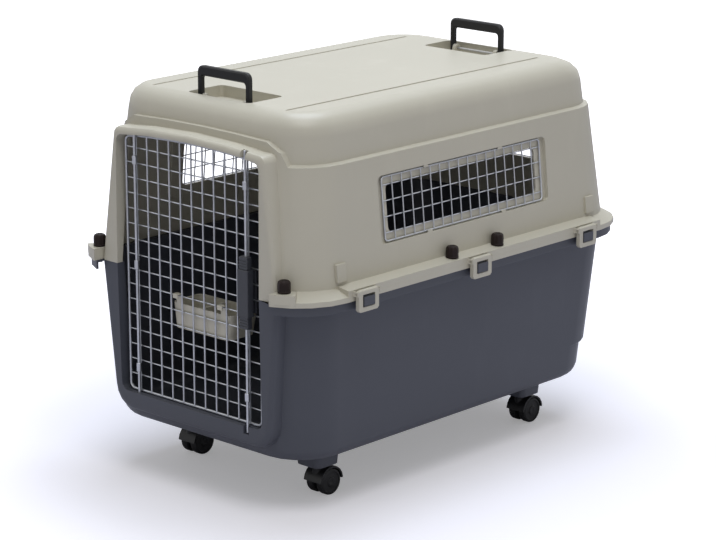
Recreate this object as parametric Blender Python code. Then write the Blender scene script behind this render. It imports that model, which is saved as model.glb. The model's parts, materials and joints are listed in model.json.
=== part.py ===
"""Dog travel crate, in metres, +Z up, door towards -Y, origin on the floor under its centre.

Two moulded shells meet at a rim and are held by knob nuts and clips.  A wire door hangs on a
rod in the front opening, wire grilles close three windows, two bail handles fold into trays in
the roof, and four twin-wheel casters stand under moulded pods.
"""

import math

import bmesh
import bpy
from mathutils import Matrix, Vector

# Clearances
FIT = 0.0003
RUNNING = 0.0005

# Heights of the crate's levels
POD_FOOT = 0.060
FLOOR_UNDERSIDE = 0.100
SEAM = 0.397
LEDGE_HEIGHT = 0.6265
SHOULDER_ABOVE_LEDGE = 0.0455
ROOF_ABOVE_LEDGE = 0.0855

# Wall thickness of both shells, and the number of steps in each rounded corner
WALL = 0.004
CORNER_STEPS = 5

# Rim where the shells meet, as a rounded rectangle
RIM_HALF_WIDTH = 0.3036
RIM_HALF_LENGTH = 0.460
RIM_CORNER = 0.1125
RIM_LIP = 0.009
RIM_RISE = 0.020
RAIL_SETBACK = 0.0002
RAIL_FACE = 0.020
RAIL_RISE = 0.024
SIDE_RAIL_SETBACK = 0.115
REAR_RAIL_SETBACK = 0.1036
LOWER_RIM_INSET = 0.0056
LOWER_RIM_SKIRT = 0.0165
SKIRT_WALL = 0.0035

# Tub: how far its walls stand inside the rim at the seam, and the slope of each wall
TUB_SIDE_SETBACK = 0.0331
TUB_FRONT_SETBACK = 0.0354
TUB_REAR_SETBACK = 0.0175
TUB_CORNER = 0.090
TUB_SIDE_SLOPE = 0.056
TUB_FRONT_SLOPE = 0.050
TUB_REAR_SLOPE = 0.104
FOOT_FILLET = 0.020
PLINTH_HEIGHT = 0.165
PLINTH_STEP = 0.012
PLINTH_EDGE = 0.0008

# Top shell: how far its walls stand inside the rim, slopes, the ledge and the rounded shoulder
TOP_SIDE_SETBACK = 0.0248
TOP_FRONT_SETBACK = 0.0310
TOP_REAR_SETBACK = 0.0160
TOP_CORNER = 0.095
TOP_SIDE_SLOPE = 0.099
TOP_END_SLOPE = 0.095
LEDGE_STEP = 0.009
LEDGE_FALL = 0.0015
SHOULDER_SIDE = 0.038
SHOULDER_FRONT = 0.038
SHOULDER_REAR = 0.072
SHOULDER_STEPS = 4
ROOF_GROOVE_X = 0.166
ROOF_GROOVE_WIDTH = 0.006
ROOF_GROOVE_DEPTH = 0.0018
ROOF_GROOVE_FRONT_MARGIN = 0.002
ROOF_GROOVE_REAR_MARGIN = 0.018
HEADER_LEDGE_RISE = 0.0425
HEADER_LEDGE_DROP = 0.004
HEADER_LEDGE_HALF_WIDTH = 0.166
HEADER_LEDGE_RUN = 0.041
HEADER_LEDGE_BEND = (0.71, 0.57)

# Proud surround of the doorway
SURROUND_SETBACK = 0.0224
SURROUND_SLOPE_BELOW = 0.018
SURROUND_SLOPE_ABOVE = 0.010
JAMB_BAND = 0.0427
SILL_SIDE_BAND = 0.0210
HEADER_SIDE_BAND = 0.0110
SURROUND_BAND = 0.0125
SILL_BAND = 0.035
SURROUND_EDGE = 0.010
SURROUND_EDGE_FADE = 0.200
SURROUND_CORNER = 0.040
SURROUND_TOP_CORNER = 0.014
SURROUND_DEPTH = 0.060
RIM_GAP_OVERLAP = 0.001

# Doorway: its sill, its top above the ledge, and the share of its half width where the arch bends
DOORWAY_BOTTOM = 0.160
DOORWAY_ABOVE_LEDGE = 0.018
DOORWAY_ARCH = 0.0095
ARCH_BEND = 0.56
DOORWAY_CORNER = 0.015

# Wire door: frame wire, and the two layers of thinner wires; as many even gaps as the rim leaves room for
DOOR_PITCH = 0.02805
DOOR_ROW_PITCH = 0.0280
DOOR_FRAME_SETBACK = 0.1348
DOOR_BEHIND_FACE = 0.0171
DOOR_SIDE_GAP = 0.0112
DOOR_BOTTOM_GAP = 0.0035
DOOR_TOP_GAP = 0.0050
DOOR_FRAME_RADIUS = 0.0026
DOOR_FRAME_CORNER = 0.010
DOOR_UPRIGHT_RADIUS = 0.0015
DOOR_CROSS_RADIUS = 0.0012
WIRE_SIDES = 5
GRILLE_SIDES = 4
GRILLE_FRAME_SIDES = 6
LAYER_GAP = 0.00015

# Hinge rod, its knuckles on the door and its sockets in the shells
HINGE_ROD_RADIUS = 0.0025
HINGE_SOCKET = 0.008
KNUCKLE_HEIGHT = 0.016
KNUCKLE_WALL = 0.0018
KNUCKLE_LEVELS = (0.10, 0.50, 0.90)

# Latch on the door: housing, sliding tabs and rods
LATCH_ROD_RADIUS = 0.0025
LATCH_ROD_AHEAD = 0.0049
LATCH_WIDTH = 0.026
LATCH_DEPTH = 0.015
LATCH_HEIGHT = 0.084
LATCH_BELOW_MIDDLE = 0.00125
LATCH_FRONT_WALL = 0.0018
LATCH_BACK_WALL = 0.0010
LATCH_SIDE_WALL = 0.0022
LATCH_PLATE = 0.002
LATCH_PLATE_MARGIN = 0.004
LATCH_CHAMFER = 0.0012
TAB_LENGTH = 0.026
TAB_ENTRY = 0.004
TAB_GROOVE_DEPTH = 0.0012
TAB_GROOVE_WIDTH = 0.0024
TAB_GROOVE_START = 0.006
TAB_GROOVE_PITCH = 0.005
TAB_GROOVES = 3
TAB_FLOOR = 0.003
LATCH_THROW = 0.016
LATCH_REACH = 0.012
NOTCH_HALF_WIDTH = 0.0065
NOTCH_BACK_GAP = 0.0012
NOTCH_END_GAP = 0.002
GUIDE_HEIGHT = 0.015
GUIDE_LEVELS = (0.11, 0.898)

# Windows: wire pitches, and the margins of opening and recess round them
WINDOW_Y = 0.0005
WINDOW_BELOW_LEDGE = 0.0965
WINDOW_PITCH = 0.0252
WINDOW_ROW_PITCH = 0.028
WINDOW_ROWS = 4
SIDE_WINDOW_GAPS = 17
REAR_WINDOW_GAPS = 9
WINDOW_HALF_HEIGHT = 0.043
WINDOW_FRAME_ABOVE = 0.0135
WINDOW_FRAME_BEYOND = 0.0122
WINDOW_RECESS_MARGIN = 0.0035
WINDOW_RECESS_END = 0.0135
WINDOW_RECESS_DEPTH = 0.0072
WINDOW_CORNER = 0.010
GRILLE_FRAME_RADIUS = 0.0018
GRILLE_WIRE_RADIUS = 0.0012
LIP_HALF_WIDTH = 0.006
LIP_OVERHANG = 0.004

# Knob nuts and the bolts through both rims
KNOB_RADIUS = 0.0115
KNOB_HEIGHT = 0.022
KNOB_SEAT = 0.0215
KNOB_SEAT_MARGIN = 0.001
BOLT_RADIUS = 0.0025
BOLT_HEAD_RADIUS = 0.0043
BOLT_HEAD_HEIGHT = 0.004
BOLT_SHAFT_IN_KNOB = 0.013
SIDE_KNOB_INSET = 0.0156
SIDE_KNOB_Y = (-0.061, 0.063)
CORNER_KNOB_INSET = 0.019
CORNER_KNOB_ANGLE = 63.0
CORNER_PAD_SPAN = 13.0
CORNER_PAD_DEPTH = 0.030

# Clips that hang on the upper rim and close over hooks of the tub
CLIP_WIDTH = 0.050
CLIP_BAR = 0.0085
CLIP_CHEEK = 0.010
CLIP_HEIGHT = 0.039
CLIP_THICKNESS = 0.008
CLIP_CORNER = 0.004
CLIP_CHAMFER = 0.002
CLIP_STAND_OFF = 0.0075
CLIP_PIVOT_ABOVE_SEAM = 0.0133
CLIP_TOP_ABOVE_PIVOT = 0.0062
CLIP_TRUNNION_RADIUS = 0.0018
CLIP_TRUNNION_LENGTH = 0.0026
EAR_WALL = 0.003
EAR_MARGIN = 0.0026
HOOK_SIDE_GAP = 0.0015
HOOK_DROP = 0.0095
HOOK_RISE = 0.0070
HOOK_BEYOND_CLIP = 0.0015
FRONT_CLIP_FROM_END = 0.038
MIDDLE_CLIP_Y = -0.009
REAR_CLIP_FROM_END = 0.051
BACK_CLIP_FROM_END = 0.040

# Folding handles and their trays
HANDLE_SETBACK = 0.124
HANDLE_PIVOT_DROP = 0.0100
HANDLE_HALF_WIDTH = 0.0645
HANDLE_LEG = 0.0095
HANDLE_DEPTH = 0.012
HANDLE_OUTBOARD = 0.0015
HANDLE_RISE = 0.058
HANDLE_BAR = 0.018
HANDLE_CORNER = 0.012
HANDLE_PIN_RADIUS = 0.0023
HANDLE_EAR = 0.008
HANDLE_EAR_MARGIN = 0.0055
HANDLE_EAR_FLARE = 0.002
HANDLE_CHAMFER = 0.0025
TRAY_DEPTH = 0.0205
TRAY_HALF_WIDTH = 0.078
TRAY_OUTBOARD = 0.020
TRAY_INBOARD = 0.066
TRAY_CORNER = 0.010

# Pods and casters
POD_SIDE_SETBACK = 0.1406
POD_FRONT_SETBACK = 0.182
POD_REAR_SETBACK = 0.174
POD_HALF = 0.0285
POD_CORNER = 0.012
POD_TAPER = 0.003
STEM_RADIUS = 0.005
STEM_DEPTH = 0.034
COLLAR_RADIUS = 0.0085
COLLAR_HEIGHT = 0.0022
SPIGOT_RADIUS = 0.004
SPIGOT_LENGTH = 0.0068
WHEEL_RADIUS = 0.025
WHEEL_WIDTH = 0.016
WHEEL_EDGE = 0.0015
WHEEL_HUB_RADIUS = 0.0085
WHEEL_DISH = 0.0015
WHEEL_STEPS = 14
WHEEL_TREAD_EDGE = 0.003
CASTER_TRAIL = 0.015
HOOD_WEB = 0.008
HOOD_WALL = 0.0033
HOOD_GAP = 0.0012
HOOD_BOSS_RADIUS = 0.0095
HOOD_BOSS_RISE = 0.012
HOOD_FOOT = 0.004
HOOD_BEYOND_WHEEL = 0.0007
AXLE_RADIUS = 0.003
HUB_CAP = 0.0025

# Bowl hung on the door
BOWL_HALF_WIDTH = 0.0755
BOWL_LENGTH = 0.072
BOWL_HEIGHT = 0.046
BOWL_WALL = 0.0025
BOWL_DRAFT = 0.006
BOWL_CORNER = 0.012
BOWL_RIM_DROP = 0.0145
BOWL_DOOR_GAP = 0.001
BOWL_HOOK_ROW = 7
BOWL_HOOK_WIDTH = 0.012
BOWL_HOOK_THICKNESS = 0.0022
BOWL_HOOK_LIP = 0.008
BOWL_COLUMN = 0.5
BOWL_HOOK_COLUMNS = 2

# Small moulded pads on the side walls above the rail
FRONT_PAD_FROM_END = 0.010
REAR_PAD_FROM_END = 0.001
PAD_HALF_LENGTH = 0.012
PAD_HEIGHT = 0.031
PAD_ABOVE_SEAM = 0.030
PAD_PROUD = 0.004

# Places worked out from the sizes above
SHOULDER_HEIGHT = LEDGE_HEIGHT + SHOULDER_ABOVE_LEDGE
ROOF_HEIGHT = LEDGE_HEIGHT + ROOF_ABOVE_LEDGE
HEADER_LEDGE_HEIGHT = LEDGE_HEIGHT + HEADER_LEDGE_RISE
WINDOW_Z = LEDGE_HEIGHT - WINDOW_BELOW_LEDGE
SIDE_RAIL_HALF_LENGTH = RIM_HALF_LENGTH - SIDE_RAIL_SETBACK
REAR_RAIL_HALF_LENGTH = RIM_HALF_WIDTH - REAR_RAIL_SETBACK
TUB_HALF_WIDTH = RIM_HALF_WIDTH - TUB_SIDE_SETBACK
TUB_FRONT = RIM_HALF_LENGTH - TUB_FRONT_SETBACK
TUB_REAR = RIM_HALF_LENGTH - TUB_REAR_SETBACK
TOP_HALF_WIDTH = RIM_HALF_WIDTH - TOP_SIDE_SETBACK
TOP_FRONT = RIM_HALF_LENGTH - TOP_FRONT_SETBACK
TOP_REAR = RIM_HALF_LENGTH - TOP_REAR_SETBACK
SURROUND_FACE = RIM_HALF_LENGTH - SURROUND_SETBACK
DOOR_COLUMNS = 2 * int((RIM_HALF_WIDTH - DOOR_FRAME_SETBACK) / DOOR_PITCH)
DOOR_HALF_WIDTH = DOOR_COLUMNS / 2 * DOOR_PITCH
DOORWAY_HALF_WIDTH = DOOR_HALF_WIDTH + DOOR_SIDE_GAP
DOORWAY_TOP = LEDGE_HEIGHT + DOORWAY_ABOVE_LEDGE
JAMB_HALF_WIDTH = DOORWAY_HALF_WIDTH + JAMB_BAND
SILL_HALF_WIDTH = DOORWAY_HALF_WIDTH + SILL_SIDE_BAND
HEADER_HALF_WIDTH = DOORWAY_HALF_WIDTH + HEADER_SIDE_BAND
DOOR_Y = -SURROUND_FACE + DOOR_BEHIND_FACE
DOOR_BOTTOM = DOORWAY_BOTTOM + DOOR_BOTTOM_GAP
DOOR_CLEAR_HEIGHT = DOORWAY_TOP - DOORWAY_ARCH - DOOR_TOP_GAP - DOOR_BOTTOM
DOOR_ROWS = int(DOOR_CLEAR_HEIGHT / DOOR_ROW_PITCH) + 1
HINGE_X = -(DOOR_COLUMNS / 2 - 1) * DOOR_PITCH
LATCH_X = -HINGE_X
UPRIGHT_Y = DOOR_Y - DOOR_UPRIGHT_RADIUS - LAYER_GAP / 2
CROSS_Y = DOOR_Y + DOOR_CROSS_RADIUS + LAYER_GAP / 2
DOOR_FRONT_Y = UPRIGHT_Y - DOOR_UPRIGHT_RADIUS
HINGE_ROD_Y = DOOR_FRONT_Y - FIT - HINGE_ROD_RADIUS
LATCH_ROD_Y = DOOR_FRONT_Y - LATCH_ROD_AHEAD
LATCH_MIDDLE = (DOORWAY_BOTTOM + DOORWAY_TOP) / 2 - LATCH_BELOW_MIDDLE
LATCH_BOTTOM = LATCH_MIDDLE - LATCH_HEIGHT / 2
LATCH_TOP = LATCH_MIDDLE + LATCH_HEIGHT / 2
HANDLE_Y = RIM_HALF_LENGTH - HANDLE_SETBACK
POD_X = RIM_HALF_WIDTH - POD_SIDE_SETBACK
POD_FRONT_Y = POD_FRONT_SETBACK - RIM_HALF_LENGTH
POD_REAR_Y = RIM_HALF_LENGTH - POD_REAR_SETBACK
SIDE_CLIP_Y = (FRONT_CLIP_FROM_END - SIDE_RAIL_HALF_LENGTH, MIDDLE_CLIP_Y,
               SIDE_RAIL_HALF_LENGTH - REAR_CLIP_FROM_END)
REAR_CLIP_X = REAR_RAIL_HALF_LENGTH - BACK_CLIP_FROM_END
PAD_Y = (FRONT_PAD_FROM_END - SIDE_RAIL_HALF_LENGTH, SIDE_RAIL_HALF_LENGTH - REAR_PAD_FROM_END)
PIVOT_Z = ROOF_HEIGHT - HANDLE_PIVOT_DROP
CLIP_PIVOT_Z = SEAM + CLIP_PIVOT_ABOVE_SEAM
KNOB_SEAT_Z = SEAM + KNOB_SEAT
LOWER_RIM_TOP = SEAM - FIT
AXLE_Z = WHEEL_RADIUS * math.cos(math.pi / WHEEL_STEPS)
WHEEL_INNER_X = HOOD_WEB / 2 + RUNNING
WHEEL_OUTER_X = WHEEL_INNER_X + WHEEL_WIDTH
FAR = 0.6
OVERRUN = 0.010


# Closed meshes from simple rules

def outward(mesh):
    """Turn the faces of a closed mesh to the outside."""
    mesh.normal_update()
    bmesh.ops.recalc_face_normals(mesh, faces=mesh.faces)
    return mesh


def from_rings(rings, caps=True):
    """Skin rings of equally many points; the ends are capped, or joined when caps is False."""
    mesh = bmesh.new()
    loops = [[mesh.verts.new(point) for point in ring] for ring in rings]
    count = len(loops[0])
    pairs = list(zip(loops, loops[1:]))
    if caps:
        mesh.faces.new(loops[0][::-1])
        mesh.faces.new(loops[-1])
    else:
        pairs.append((loops[-1], loops[0]))
    for lower, upper in pairs:
        for i in range(count):
            j = (i + 1) % count
            mesh.faces.new((lower[i], lower[j], upper[j], upper[i]))
    return outward(mesh)


def prism(outline, start, end):
    """Extrude an outline of 2-D points between two heights along Z."""
    return from_rings([[(u, v, height) for u, v in outline] for height in (start, end)])


def box(x, y, z):
    """A box from three (low, high) pairs."""
    outline = [(x[0], y[0]), (x[1], y[0]), (x[1], y[1]), (x[0], y[1])]
    return prism(outline, z[0], z[1])


def arc(centre, radius, start, end, steps):
    """Points on an arc of a plane; angles in degrees."""
    points = []
    for i in range(steps + 1):
        angle = math.radians(start + (end - start) * i / steps)
        points.append((centre[0] + radius * math.cos(angle), centre[1] + radius * math.sin(angle)))
    return points


def rounded_rectangle(low_u, high_u, low_v, high_v, radius, steps):
    """Outline of a rounded rectangle, anticlockwise."""
    points = arc((high_u - radius, high_v - radius), radius, 0, 90, steps)
    points += arc((low_u + radius, high_v - radius), radius, 90, 180, steps)
    points += arc((low_u + radius, low_v + radius), radius, 180, 270, steps)
    points += arc((high_u - radius, low_v + radius), radius, 270, 360, steps)
    return points


def cylinder(centre, radius, start, end, steps, axis="Z"):
    """A round bar along an axis; centre gives the two other coordinates in order."""
    mesh = prism(arc((0, 0), radius, 0, 360 - 360 / steps, steps - 1), start, end)
    return laid(mesh, axis, centre)


def laid(mesh, axis, centre=(0, 0)):
    """Turn a mesh made along Z so that it runs along another axis, then move it sideways."""
    for vert in mesh.verts:
        u, v, w = vert.co
        if axis == "X":
            vert.co = (w, u + centre[0], v + centre[1])
        elif axis == "Y":
            vert.co = (u + centre[0], w, v + centre[1])
        else:
            vert.co = (u + centre[0], v + centre[1], w)
    return outward(mesh)


def turned(profile, steps, axis="Z", centre=(0, 0), offset=0.0):
    """Revolve a closed profile of (radius, height) points that starts and ends on the axis."""
    mesh = bmesh.new()
    rings = []
    for radius, height in profile:
        if radius == 0.0:
            rings.append([mesh.verts.new((0, 0, height + offset))])
        else:
            circle = arc((0, 0), radius, 0, 360 - 360 / steps, steps - 1)
            rings.append([mesh.verts.new((u, v, height + offset)) for u, v in circle])
    for first, second in zip(rings, rings[1:]):
        for i in range(steps):
            j = (i + 1) % steps
            if len(first) == 1:
                mesh.faces.new((first[0], second[j], second[i]))
            elif len(second) == 1:
                mesh.faces.new((first[i], first[j], second[0]))
            else:
                mesh.faces.new((first[i], first[j], second[j], second[i]))
    return laid(mesh, axis, centre)


def wire(path, radius, sides, closed=False):
    """A round wire along points in the XZ plane, mitred at its bends."""
    rings = []
    count = len(path)
    for i, (x, z) in enumerate(path):
        before = path[i - 1] if closed or i else path[i]
        after = path[(i + 1) % count] if closed or i < count - 1 else path[i]
        tangent = Vector((after[0] - before[0], after[1] - before[1])).normalized()
        normal = Vector((-tangent.y, tangent.x))
        if closed:
            first = Vector((x - before[0], z - before[1])).normalized()
            stretch = 1.0 / max(0.5, tangent.dot(first))
        else:
            stretch = 1.0
        ring = []
        for u, v in arc((0, 0), radius, 30, 390 - 360 / sides, sides - 1):
            ring.append((x + normal.x * u * stretch, v, z + normal.y * u * stretch))
        rings.append(ring)
    return from_rings(rings, caps=not closed)


def together(meshes):
    """Put several meshes that don't meet into one."""
    result = bmesh.new()
    for mesh in meshes:
        verts = {vert: result.verts.new(vert.co) for vert in mesh.verts}
        for face in mesh.faces:
            result.faces.new([verts[vert] for vert in face.verts])
        mesh.free()
    return result


def moved(mesh, matrix):
    """Transform a mesh in place and give it back."""
    bmesh.ops.transform(mesh, matrix=matrix, verts=mesh.verts)
    return mesh


def combined(mesh, tool, operation):
    """Exact boolean of two closed meshes."""
    operands = []
    for source in (mesh, tool):
        data = bpy.data.meshes.new("operand")
        source.to_mesh(data)
        source.free()
        operand = bpy.data.objects.new("operand", data)
        bpy.context.scene.collection.objects.link(operand)
        operands.append(operand)
    modifier = operands[0].modifiers.new("combine", "BOOLEAN")
    modifier.operation = operation
    modifier.solver = "EXACT"
    modifier.object = operands[1]
    result = bmesh.new()
    result.from_object(operands[0], bpy.context.evaluated_depsgraph_get())
    for operand in operands:
        data = operand.data
        bpy.data.objects.remove(operand)
        bpy.data.meshes.remove(data)
    bmesh.ops.remove_doubles(result, verts=result.verts, dist=2e-6)
    return result


def joined(mesh, *tools):
    """Weld tools to a mesh; the tools don't meet each other."""
    return combined(mesh, together(tools), "UNION")


def cut(mesh, *tools):
    """Take tools out of a mesh; the tools don't meet each other."""
    return combined(mesh, together(tools), "DIFFERENCE")


# Materials and objects

def material(name, colour, roughness, metallic=0.0):
    """One plain finish."""
    finish = bpy.data.materials.new(name)
    finish.use_nodes = True
    shader = finish.node_tree.nodes["Principled BSDF"]
    shader.inputs["Base Color"].default_value = (*colour, 1.0)
    shader.inputs["Roughness"].default_value = roughness
    shader.inputs["Metallic"].default_value = metallic
    finish.diffuse_color = (*colour, 1.0)
    return finish


def piece(name, mesh, finish, origin=(0, 0, 0), parent=None, smooth=False):
    """Make a named object from a mesh in world places, with its origin where it turns or seats."""
    data = bpy.data.meshes.new(name)
    bmesh.ops.translate(mesh, verts=mesh.verts, vec=-Vector(origin))
    bmesh.ops.dissolve_limit(mesh, angle_limit=0.0005, verts=mesh.verts, edges=mesh.edges)
    mesh.to_mesh(data)
    mesh.free()
    data.materials.append(finish)
    if smooth:
        data.shade_smooth()
        data.set_sharp_from_angle(angle=math.radians(35))
    result = bpy.data.objects.new(name, data)
    bpy.context.scene.collection.objects.link(result)
    result.location = origin
    if parent is not None:
        result.parent = parent
        result.location = Vector(origin) - parent.location
    return result


def pivot(name, place):
    """An empty on a joint's axis that carries the pieces that move with it."""
    empty = bpy.data.objects.new(name, None)
    empty.empty_display_size = 0.03
    empty.location = place
    bpy.context.scene.collection.objects.link(empty)
    return empty


# Shell plans

class Plan:
    """A rounded rectangle seen from above: half width, reach to front and rear, corner."""

    def __init__(self, half_width, front, rear, corner):
        self.half_width = half_width
        self.front = front
        self.rear = rear
        self.corner = corner

    def inset(self, side, front=None, rear=None):
        """The same plan drawn in by a distance, or by three."""
        front = side if front is None else front
        rear = side if rear is None else rear
        return Plan(self.half_width - side, self.front - front, self.rear - rear, self.corner - side)

    def at(self, z):
        """Its points at a height."""
        outline = rounded_rectangle(-self.half_width, self.half_width, -self.front, self.rear,
                                    self.corner, CORNER_STEPS)
        return [(x, y, z) for x, y in outline]


def rim_plan(inset=0.0):
    """Outer edge of the rim."""
    return Plan(RIM_HALF_WIDTH, RIM_HALF_LENGTH, RIM_HALF_LENGTH, RIM_CORNER).inset(inset)


def tub_plan(z):
    """Outside of the tub's wall at a height, with the plinth drawn in at the rear."""
    drop = SEAM - z
    rear = TUB_REAR - TUB_REAR_SLOPE * drop
    if z < PLINTH_HEIGHT:
        rear -= PLINTH_STEP
    half_width = TUB_HALF_WIDTH - TUB_SIDE_SLOPE * drop
    return Plan(half_width, TUB_FRONT - TUB_FRONT_SLOPE * drop, rear, TUB_CORNER)


def top_plan(z):
    """Outside of the top shell's wall at a height, drawn in above the ledge."""
    rise = z - SEAM
    half_width = TOP_HALF_WIDTH - TOP_SIDE_SLOPE * rise
    front = TOP_FRONT - TOP_END_SLOPE * rise
    rear = TOP_REAR - TOP_END_SLOPE * rise
    plan = Plan(half_width, front, rear, TOP_CORNER)
    return plan.inset(LEDGE_STEP) if z > LEDGE_HEIGHT else plan


def tub_side(inset):
    """Rings of the tub's wall from the floor to the plinth, at a distance inside its outside."""
    rings = []
    floor = FLOOR_UNDERSIDE + inset
    radius = FOOT_FILLET - inset
    for i in range(4):
        angle = math.radians(90 * i / 3)
        height = floor + radius * (1 - math.cos(angle))
        rings.append(tub_plan(height).inset(inset + radius * (1 - math.sin(angle))).at(height))
    for height in (PLINTH_HEIGHT - PLINTH_EDGE, PLINTH_HEIGHT + PLINTH_EDGE):
        rings.append(tub_plan(height).inset(inset).at(height))
    return rings


def top_side(inset):
    """Rings of the top shell's wall from below the ledge to the roof, at a distance inside."""
    low = LEDGE_HEIGHT - LEDGE_FALL - inset / 2
    high = LEDGE_HEIGHT + LEDGE_FALL - inset / 2
    rings = [top_plan(low).inset(inset).at(low)]
    rings.append(top_plan(LEDGE_HEIGHT + LEDGE_FALL).inset(inset).at(high))
    rise = ROOF_HEIGHT - SHOULDER_HEIGHT - inset
    base = top_plan(SHOULDER_HEIGHT).inset(inset)
    for i in range(SHOULDER_STEPS + 1):
        angle = math.radians(90 * i / SHOULDER_STEPS)
        share = 1 - math.cos(angle)
        drawn_in = [share * (reach - inset) for reach in (SHOULDER_SIDE, SHOULDER_FRONT, SHOULDER_REAR)]
        rings.append(base.inset(*drawn_in).at(SHOULDER_HEIGHT + rise * math.sin(angle)))
    return rings


# Doorway and its surround

def doorway_top(x):
    """Height of the arched top of the doorway."""
    return DOORWAY_TOP - DOORWAY_ARCH * (x / DOORWAY_HALF_WIDTH) ** 2


def doorway_outline():
    """Doorway seen from the front, as (x, z) points."""
    half = DOORWAY_HALF_WIDTH
    corner = DOORWAY_CORNER
    points = arc((-half + corner, DOORWAY_BOTTOM + corner), corner, 180, 270, 3)
    points += arc((half - corner, DOORWAY_BOTTOM + corner), corner, 270, 360, 3)
    points += arc((half - corner, doorway_top(half) - corner), corner, 0, 75, 3)
    for share in (ARCH_BEND, 0.0, -ARCH_BEND):
        points.append((share * half, doorway_top(share * half)))
    points += arc((-half + corner, doorway_top(half) - corner), corner, 105, 180, 3)
    return points


def surround_outline(above):
    """Outer edge of the surround above or below the seam, seen from the front, as (x, z) points."""
    if above:
        ends = doorway_top(DOORWAY_HALF_WIDTH) + SURROUND_BAND
        corner = SURROUND_TOP_CORNER
        points = [(JAMB_HALF_WIDTH, SEAM)]
        points += arc((HEADER_HALF_WIDTH - corner, ends - corner), corner, 0, 75, 3)
        for x in (ARCH_BEND * DOORWAY_HALF_WIDTH, 0.0):
            points.append((x, doorway_top(x) + SURROUND_BAND))
    else:
        bottom = DOORWAY_BOTTOM - SILL_BAND
        corner = SURROUND_CORNER
        points = [(JAMB_HALF_WIDTH, LOWER_RIM_TOP)]
        points += arc((SILL_HALF_WIDTH - corner, bottom + corner), corner, 0, -90, 4)
    mirrored = [(-x, z) for x, z in points if x > 0]
    return points + mirrored[::-1]


def surround_face(z):
    """Place of the surround's front face at a height."""
    if z < SEAM:
        return -SURROUND_FACE + SURROUND_SLOPE_BELOW * (SEAM - z)
    return -SURROUND_FACE + SURROUND_SLOPE_ABOVE * (z - SEAM)


def surround(above):
    """Half of the proud frame round the doorway as a solid, rounded along its outer front edge."""
    outline = surround_outline(above)
    rings = [[(x, -SURROUND_FACE + SURROUND_DEPTH, z) for x, z in outline]]
    for i in range(4):
        angle = math.radians(90 * i / 3)
        back = SURROUND_EDGE * (1 - math.sin(angle))
        inward = SURROUND_EDGE * (1 - math.cos(angle))
        ring = []
        for x, z in outline:
            drawn_x = x - math.copysign(inward, x) if x else 0.0
            shift = min(1.0, abs(z - SEAM) / SURROUND_EDGE_FADE) if abs(z - SEAM) > FIT else 0.0
            drawn_z = z - math.copysign(inward * shift, z - SEAM)
            ring.append((drawn_x, surround_face(drawn_z) + back, drawn_z))
        rings.append(ring)
    return from_rings(rings)


def rim_gap():
    """Space in front of the doorway that the rims leave to the surround."""
    half = JAMB_HALF_WIDTH - RIM_GAP_OVERLAP
    back = -SURROUND_FACE + SURROUND_EDGE * 1.5
    return box((-half, half), (-FAR, back), (SEAM - RAIL_RISE, SEAM + RAIL_RISE))


# Rim furniture

def on_side(angle, mesh):
    """Turn a mesh built at the right-hand side (+X) to another side of the crate."""
    return moved(mesh, Matrix.Rotation(math.radians(angle), 4, "Z"))


def clip_places():
    """Name, turn, reach and place along the rim of each clip."""
    places = []
    for label, y in zip(("front", "middle", "rear"), SIDE_CLIP_Y):
        places.append(("clip_right_" + label, 0.0, RIM_HALF_WIDTH, y))
        places.append(("clip_left_" + label, 180.0, RIM_HALF_WIDTH, -y))
    places.append(("clip_rear_right", 90.0, RIM_HALF_LENGTH, -REAR_CLIP_X))
    places.append(("clip_rear_left", 90.0, RIM_HALF_LENGTH, REAR_CLIP_X))
    return places


def knob_places():
    """Name and place of each knob nut."""
    places = []
    for side, sign in (("right", 1), ("left", -1)):
        for label, y in zip(("front", "rear"), SIDE_KNOB_Y):
            places.append(("%s_%s" % (side, label), (sign * (RIM_HALF_WIDTH - SIDE_KNOB_INSET), y)))
        reach = RIM_CORNER - CORNER_KNOB_INSET
        angle = math.radians(CORNER_KNOB_ANGLE)
        x = RIM_HALF_WIDTH - RIM_CORNER + reach * math.cos(angle)
        y = RIM_HALF_LENGTH - RIM_CORNER + reach * math.sin(angle)
        places.append(("front_corner_" + side, (sign * x, -y)))
    return places


def side_rail(reach, half_length, wall):
    """Thick part of the upper rim along one side, for clips and knobs."""
    face = reach - RAIL_SETBACK
    root = wall - WALL / 2
    top = SEAM + RAIL_FACE + (RAIL_RISE - RAIL_FACE) * (face - root) / (face - wall)
    foot = SEAM + RIM_LIP / 2
    section = [(root, foot), (face, foot), (face, SEAM + RAIL_FACE), (root, top)]
    rings = [[(x, y, z) for x, z in section] for y in (-half_length, half_length)]
    return from_rings(rings)


def corner_pads():
    """Raised pads of the upper rim under the front corner knobs."""
    pads = []
    centre = (RIM_HALF_WIDTH - RIM_CORNER, RIM_HALF_LENGTH - RIM_CORNER)
    first = CORNER_KNOB_ANGLE - CORNER_PAD_SPAN
    last = CORNER_KNOB_ANGLE + CORNER_PAD_SPAN
    outline = arc(centre, RIM_CORNER, first, last, 3)
    outline += arc(centre, RIM_CORNER - CORNER_PAD_DEPTH, last, first, 2)
    for sign in (1, -1):
        mirrored = [(sign * x, -y) for x, y in outline]
        pads.append(prism(mirrored, SEAM + RIM_LIP / 2, KNOB_SEAT_Z))
    return pads


def wall_pads():
    """Small moulded pads that follow the slope of the side walls."""
    pads = []
    low = SEAM + PAD_ABOVE_SEAM
    for angle in (0.0, 180.0):
        for y in PAD_Y:
            place = y if angle == 0.0 else -y
            rings = []
            for z in (low, low + PAD_HEIGHT):
                inner = rim_wall_x(y, z) - WALL / 2
                outer = rim_wall_x(y, z) + PAD_PROUD
                near, far = place - PAD_HALF_LENGTH, place + PAD_HALF_LENGTH
                rings.append([(inner, near, z), (outer, near, z), (outer, far, z), (inner, far, z)])
            pads.append(on_side(angle, from_rings(rings)))
    return pads


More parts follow.
